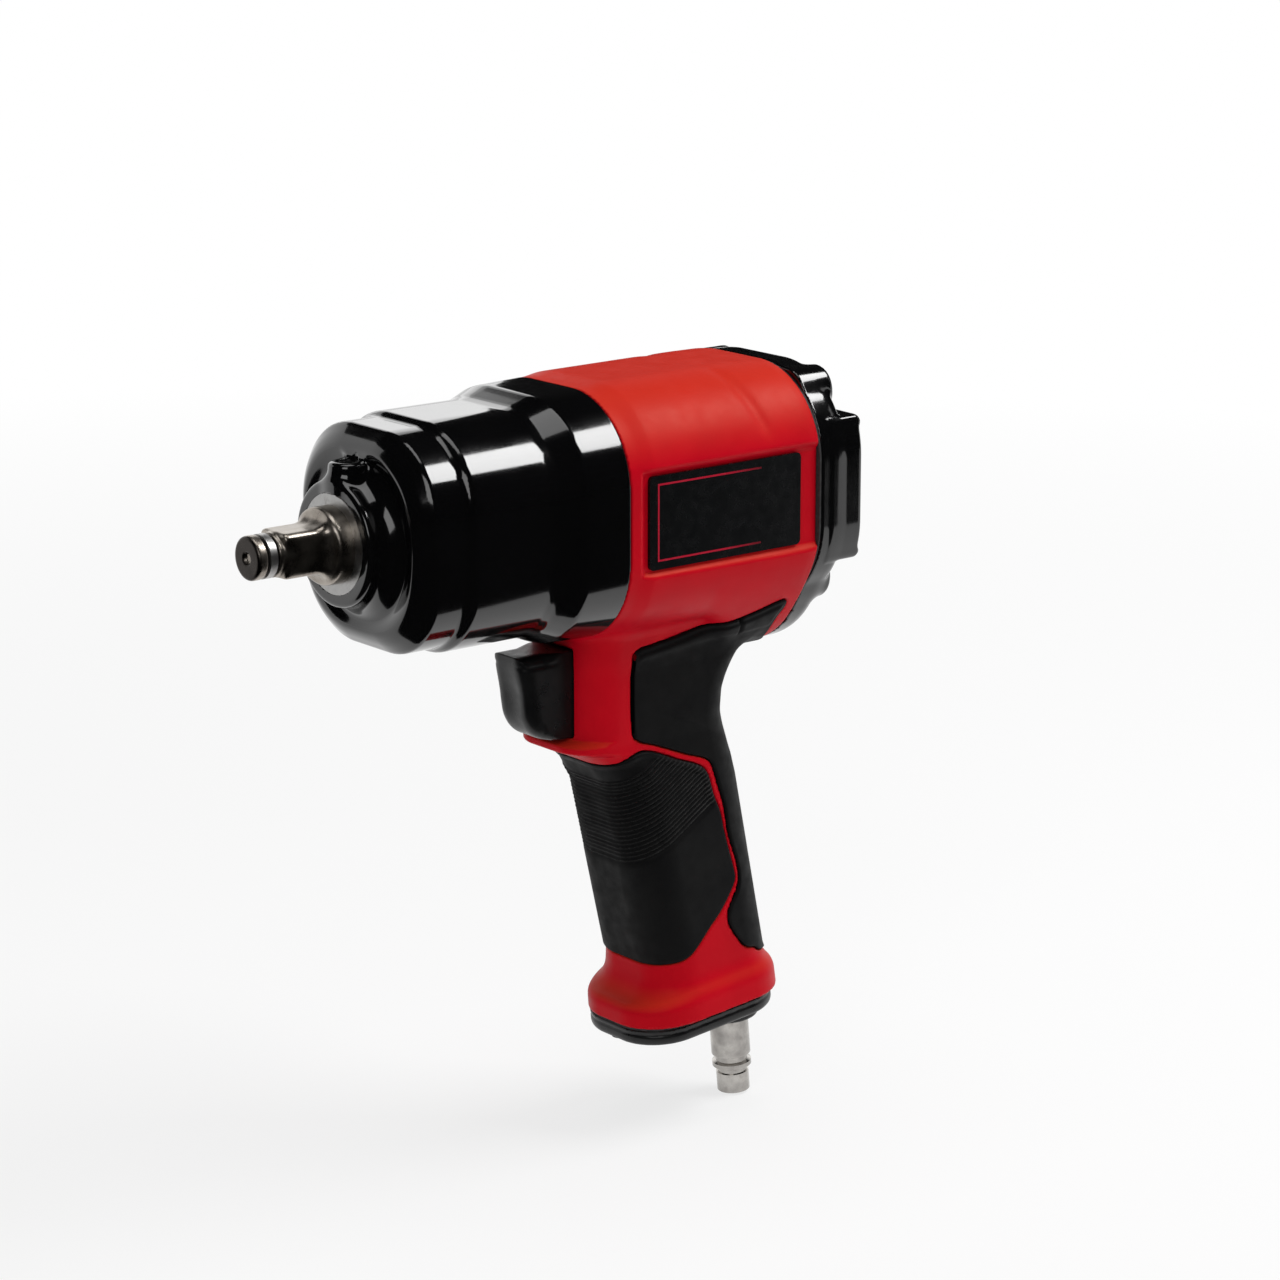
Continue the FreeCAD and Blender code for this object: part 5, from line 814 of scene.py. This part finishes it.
FINISHES = {
    "gloss_black": gloss_black(),
    "cover_black": cover_black(),
    "red_composite": red_composite(),
    "black_rubber": matt_rubber("black_rubber"),
    "ribbed_rubber": matt_rubber("ribbed_rubber", True),
    "black_plastic": black_plastic(),
    "label_film": label_film(),
    "drive_steel": drive_steel(),
    "bearing_steel": brushed("bearing_steel", (0.66, 0.655, 0.64), (0.46, 0.455, 0.45), 0.34),
    "hardened_steel": metal("hardened_steel", (0.42, 0.41, 0.4), (0.26, 0.25, 0.25), 0.34),
    "zinc_steel": metal("zinc_steel", (0.62, 0.62, 0.6), (0.46, 0.46, 0.44), 0.3),
    "black_steel": metal("black_steel", (0.06, 0.06, 0.062), (0.03, 0.03, 0.031), 0.36, wear=0.25,
                         stain=(0.02, 0.02, 0.02)),
    "nickel": metal("nickel", (0.52, 0.50, 0.47), (0.30, 0.285, 0.27), 0.14, (1, 1, 8),
                    stain=(0.24, 0.22, 0.2)),
    "brass": metal("brass", (0.72, 0.5, 0.2), (0.5, 0.33, 0.12), 0.28, stain=(0.22, 0.13, 0.05)),
    "liner_steel": brushed("liner_steel", (0.48, 0.48, 0.47), (0.36, 0.36, 0.36), 0.25),
    "plate_alloy": metal("plate_alloy", (0.6, 0.6, 0.6), (0.42, 0.42, 0.42), 0.32),
    "vane_resin": sheet("vane_resin", (0.16, 0.07, 0.03), (0.26, 0.12, 0.05), 0.5),
    "gasket_sheet": sheet("gasket_sheet", (0.02, 0.02, 0.021), (0.045, 0.045, 0.045), 0.7),
    "seal_rubber": sheet("seal_rubber", (0.012, 0.012, 0.012), (0.02, 0.02, 0.02), 0.5),
    "muffler_felt": muffler_felt(),
}


def dress(piece, slot_name):
    piece.data.materials.clear()
    piece.data.materials.append(FINISHES[slot_name].material)


# ---------------------------------------------------------------- pieces

# name, field, replaced node, body, finish, lowest and highest corner, grid step
PIECES = [
    ("case_casting", hammer_case, "hammer_case", "housing", "gloss_black",
     (27, -38, -38), (105, 38, 38), 0.62),
    ("housing_moulding", motor_housing, "motor_housing", "housing", "red_composite",
     (99, -39, -39), (182, 39, 164), 0.8),
    ("front_grip_rubber", front_pad, "front_grip_pad", "housing", "black_rubber",
     (101, -21, 68), (172, 21, 148), 0.42),
    ("rear_grip_rubber", rear_pad, "rear_grip_pad", "housing", "black_rubber",
     (120, -30, 28), (181, 30, 148), 0.5),
    ("cover_casting", rear_cover, "rear_cover", "housing", "cover_black",
     (156, -39, -39), (193, 39, 52), 0.64),
    ("trigger_lever", trigger, "trigger", "trigger", "black_plastic", (85, -9, 39), (108, 9, 67), 0.4),
    ("foot_plate", base_cover, "base_cover", "housing", "black_plastic",
     (122, -21, 150), (182, 21, 170), 0.45),
    ("drive_anvil", anvil, "anvil", "anvil", "drive_steel", (-1, -18, -18), (84, 18, 18), 0.42),
]

for name, field, node, body, slot_name, low, high, step in PIECES:
    piece = solid_mesh(name, field, low, high, step)
    dress(piece, "ribbed_rubber" if node == "front_grip_pad" else slot_name)
    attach(piece, body)
    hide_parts(node)

for row in frame["record"]["subparts"]:
    dress(frame["nodes"][row["node"]], row["material_slot"])


# ---------------------------------------------------------------- studio

def lamp(name, place, target, width, height, power):
    """Soft rectangular lamp aimed at a point."""
    light = bpy.data.lights.new(name, "AREA")
    light.shape, light.size, light.size_y = "RECTANGLE", width, height
    light.energy = power
    holder = bpy.data.objects.new(name, light)
    holder.location = place
    holder.rotation_euler = (Vector(target) - Vector(place)).to_track_quat("-Z", "Y").to_euler()
    bpy.context.collection.objects.link(holder)


def seen_directly(tree):
    """1 for camera, glossy and transmission rays."""
    path = tree.nodes.new("ShaderNodeLightPath")
    total = path.outputs["Is Camera Ray"]
    for ray in ("Is Glossy Ray", "Is Transmission Ray"):
        item = tree.nodes.new("ShaderNodeMath")
        item.operation, item.use_clamp = "ADD", True
        tree.links.new(total, item.inputs[0])
        tree.links.new(path.outputs[ray], item.inputs[1])
        total = item.outputs[0]
    return total


def build_world(fill):
    world = bpy.data.worlds.new("studio")
    bpy.context.scene.world = world
    world.use_nodes = True
    tree = world.node_tree
    background = tree.nodes["Background"]
    shade = tree.nodes.new("ShaderNodeMix")
    shade.data_type = "FLOAT"
    tree.links.new(seen_directly(tree), shade.inputs[0])
    shade.inputs[2].default_value, shade.inputs[3].default_value = fill, 1.0
    tree.links.new(shade.outputs[0], background.inputs["Strength"])
    background.inputs["Color"].default_value = (1, 1, 1, 1)


def flat_piece(name, corners, material):
    mesh = bpy.data.meshes.new(name)
    mesh.from_pydata(corners, [], [list(range(len(corners)))])
    mesh.materials.append(material)
    item = bpy.data.objects.new(name, mesh)
    bpy.context.collection.objects.link(item)
    item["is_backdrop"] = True
    return item


def floor_material(glow):
    """Pale floor: mostly white by itself where it is seen, with the rest left to light and shadow."""
    material = bpy.data.materials.new("pale_floor")
    material.use_nodes = True
    tree = material.node_tree
    tree.nodes.clear()
    out = tree.nodes.new("ShaderNodeOutputMaterial")
    matt = tree.nodes.new("ShaderNodeBsdfDiffuse")
    matt.inputs["Color"].default_value = (0.86, 0.86, 0.86, 1)
    white = tree.nodes.new("ShaderNodeEmission")
    blend = tree.nodes.new("ShaderNodeMixShader")
    place = tree.nodes.new("ShaderNodeTexCoord")
    away = tree.nodes.new("ShaderNodeVectorMath")
    away.operation = "LENGTH"
    tree.links.new(place.outputs["Object"], away.inputs[0])
    rising = tree.nodes.new("ShaderNodeMapRange")
    for socket, number in (("From Min", 0.45), ("From Max", 1.3), ("To Min", glow), ("To Max", 1.0)):
        rising.inputs[socket].default_value = number
    tree.links.new(away.outputs["Value"], rising.inputs["Value"])
    share = tree.nodes.new("ShaderNodeMath")
    share.operation = "MULTIPLY"
    tree.links.new(rising.outputs["Result"], share.inputs[1])
    tree.links.new(seen_directly(tree), share.inputs[0])
    tree.links.new(share.outputs[0], blend.inputs[0])
    tree.links.new(matt.outputs[0], blend.inputs[1])
    tree.links.new(white.outputs[0], blend.inputs[2])
    tree.links.new(blend.outputs[0], out.inputs["Surface"])
    return material


def card_material():
    material = bpy.data.materials.new("black_card")
    material.use_nodes = True
    shader = material.node_tree.nodes["Principled BSDF"]
    shader.inputs["Base Color"].default_value = (0.004, 0.004, 0.004, 1)
    shader.inputs["Roughness"].default_value = 1.0
    shader.inputs["Specular IOR Level"].default_value = 0.0
    return material


def glossy_only(item):
    """A card that shows in reflections and nowhere else."""
    item.visible_camera = item.visible_diffuse = item.visible_shadow = False
    item.visible_transmission = item.visible_volume_scatter = False


HOOD_LOWEST, HOOD_RISE, HOOD_BEHIND = -4, 94, -0.15


def black_hood(centre, radius, facing, open_height, material):
    """Dark dome round the set, open low down behind the object where the backdrop shows."""
    rings, spokes = 12, 48
    points, faces = [], []
    for ring in range(rings + 1):
        rise = math.radians(HOOD_LOWEST + HOOD_RISE * ring / rings)
        for spoke in range(spokes):
            turn = 2 * math.pi * spoke / spokes
            points.append((centre[0] + radius * math.cos(rise) * math.cos(turn),
                           centre[1] + radius * math.cos(rise) * math.sin(turn),
                           centre[2] + radius * math.sin(rise)))
    for ring in range(rings):
        rise = math.radians(HOOD_LOWEST + HOOD_RISE * (ring + 0.5) / rings)
        for spoke in range(spokes):
            turn = 2 * math.pi * (spoke + 0.5) / spokes
            behind = math.cos(turn) * facing[0] + math.sin(turn) * facing[1] < HOOD_BEHIND
            if behind and rise < open_height:
                continue
            after = (spoke + 1) % spokes
            faces.append([ring * spokes + spoke, ring * spokes + after,
                          (ring + 1) * spokes + after, (ring + 1) * spokes + spoke])
    mesh = bpy.data.meshes.new("black_hood")
    mesh.from_pydata(points, [], faces)
    mesh.materials.append(material)
    item = bpy.data.objects.new("black_hood", mesh)
    bpy.context.collection.objects.link(item)
    item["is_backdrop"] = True
    glossy_only(item)


# Directions of the photographer's view: towards the camera, to the right of the picture, and up it.
TO_CAMERA = Vector((0.60982, 0.75307, 0.24700))
RIGHT = Vector((-0.77715, 0.62932, 0.0))
UP = Vector((-0.15544, -0.19195, 0.96902))

scene = bpy.context.scene
lens = bpy.data.cameras.new("photo_camera")
lens.sensor_width, lens.lens = 36.0, 110.08
lens.clip_start, lens.clip_end = 0.02, 100.0
camera = bpy.data.objects.new("photo_camera", lens)
camera.matrix_world = Matrix.Translation((0.563261, 0.863840, 0.238956)) @ Matrix(
    (RIGHT, UP, TO_CAMERA)).transposed().to_4x4()
bpy.context.collection.objects.link(camera)
scene.camera = camera

build_world(0.34)
middle = (cad_low + cad_high) / 2
floor_height = cad_low.z - 0.0005
flat_piece("floor", [(-15, -15, floor_height), (15, -15, floor_height), (15, 15, floor_height),
                     (-15, 15, floor_height)], floor_material(0.72))
card = card_material()
facing = TO_CAMERA.to_2d().normalized()
black_hood((middle.x, middle.y, floor_height + 0.02), 2.6, facing, math.radians(38), card)
side_way = Vector((-facing.y, facing.x))

# Card on the floor in front of the tool: the glossy undersides reflect no pale floor.
near, far = 0.05, 3.0
ground = [Vector((middle.x, middle.y)) + facing * a + side_way * b
          for a, b in ((near, -3), (far, -3), (far, 3), (near, 3))]
glossy_only(flat_piece("floor_card", [(p.x, p.y, floor_height + 0.004) for p in ground], card))

# Upright card close behind the rear half of the tool: its top faces reflect no backdrop.
back = [Vector((middle.x, middle.y)) - facing * 0.25 + side_way * a for a in (-0.022, 0.9)]
glossy_only(flat_piece("back_card", [(back[0].x, back[0].y, 0.03), (back[1].x, back[1].y, 0.03),
                                     (back[1].x, back[1].y, 0.45), (back[0].x, back[0].y, 0.45)], card))

barrel_middle = Vector((-0.1, 0.0, 0.0))
lamp("overhead", (-0.1, 0.0, 1.3), barrel_middle, 0.8, 0.8, 4.2)
lamp("shoulder_key", barrel_middle + 1.15 * Vector((-0.61, 0.317, 0.721)), barrel_middle, 0.7, 0.3, 8.5)
lamp("front_fill", barrel_middle + 1.5 * Vector((0.75, 0.62, 0.5)), barrel_middle, 0.8, 0.8, 5)
lamp("backdrop_glow", barrel_middle + 2.0 * Vector((-0.61, -0.753, 0.3)), barrel_middle, 2.0, 0.6, 2.5)

scene.view_settings.view_transform = "Standard"
low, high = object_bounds()
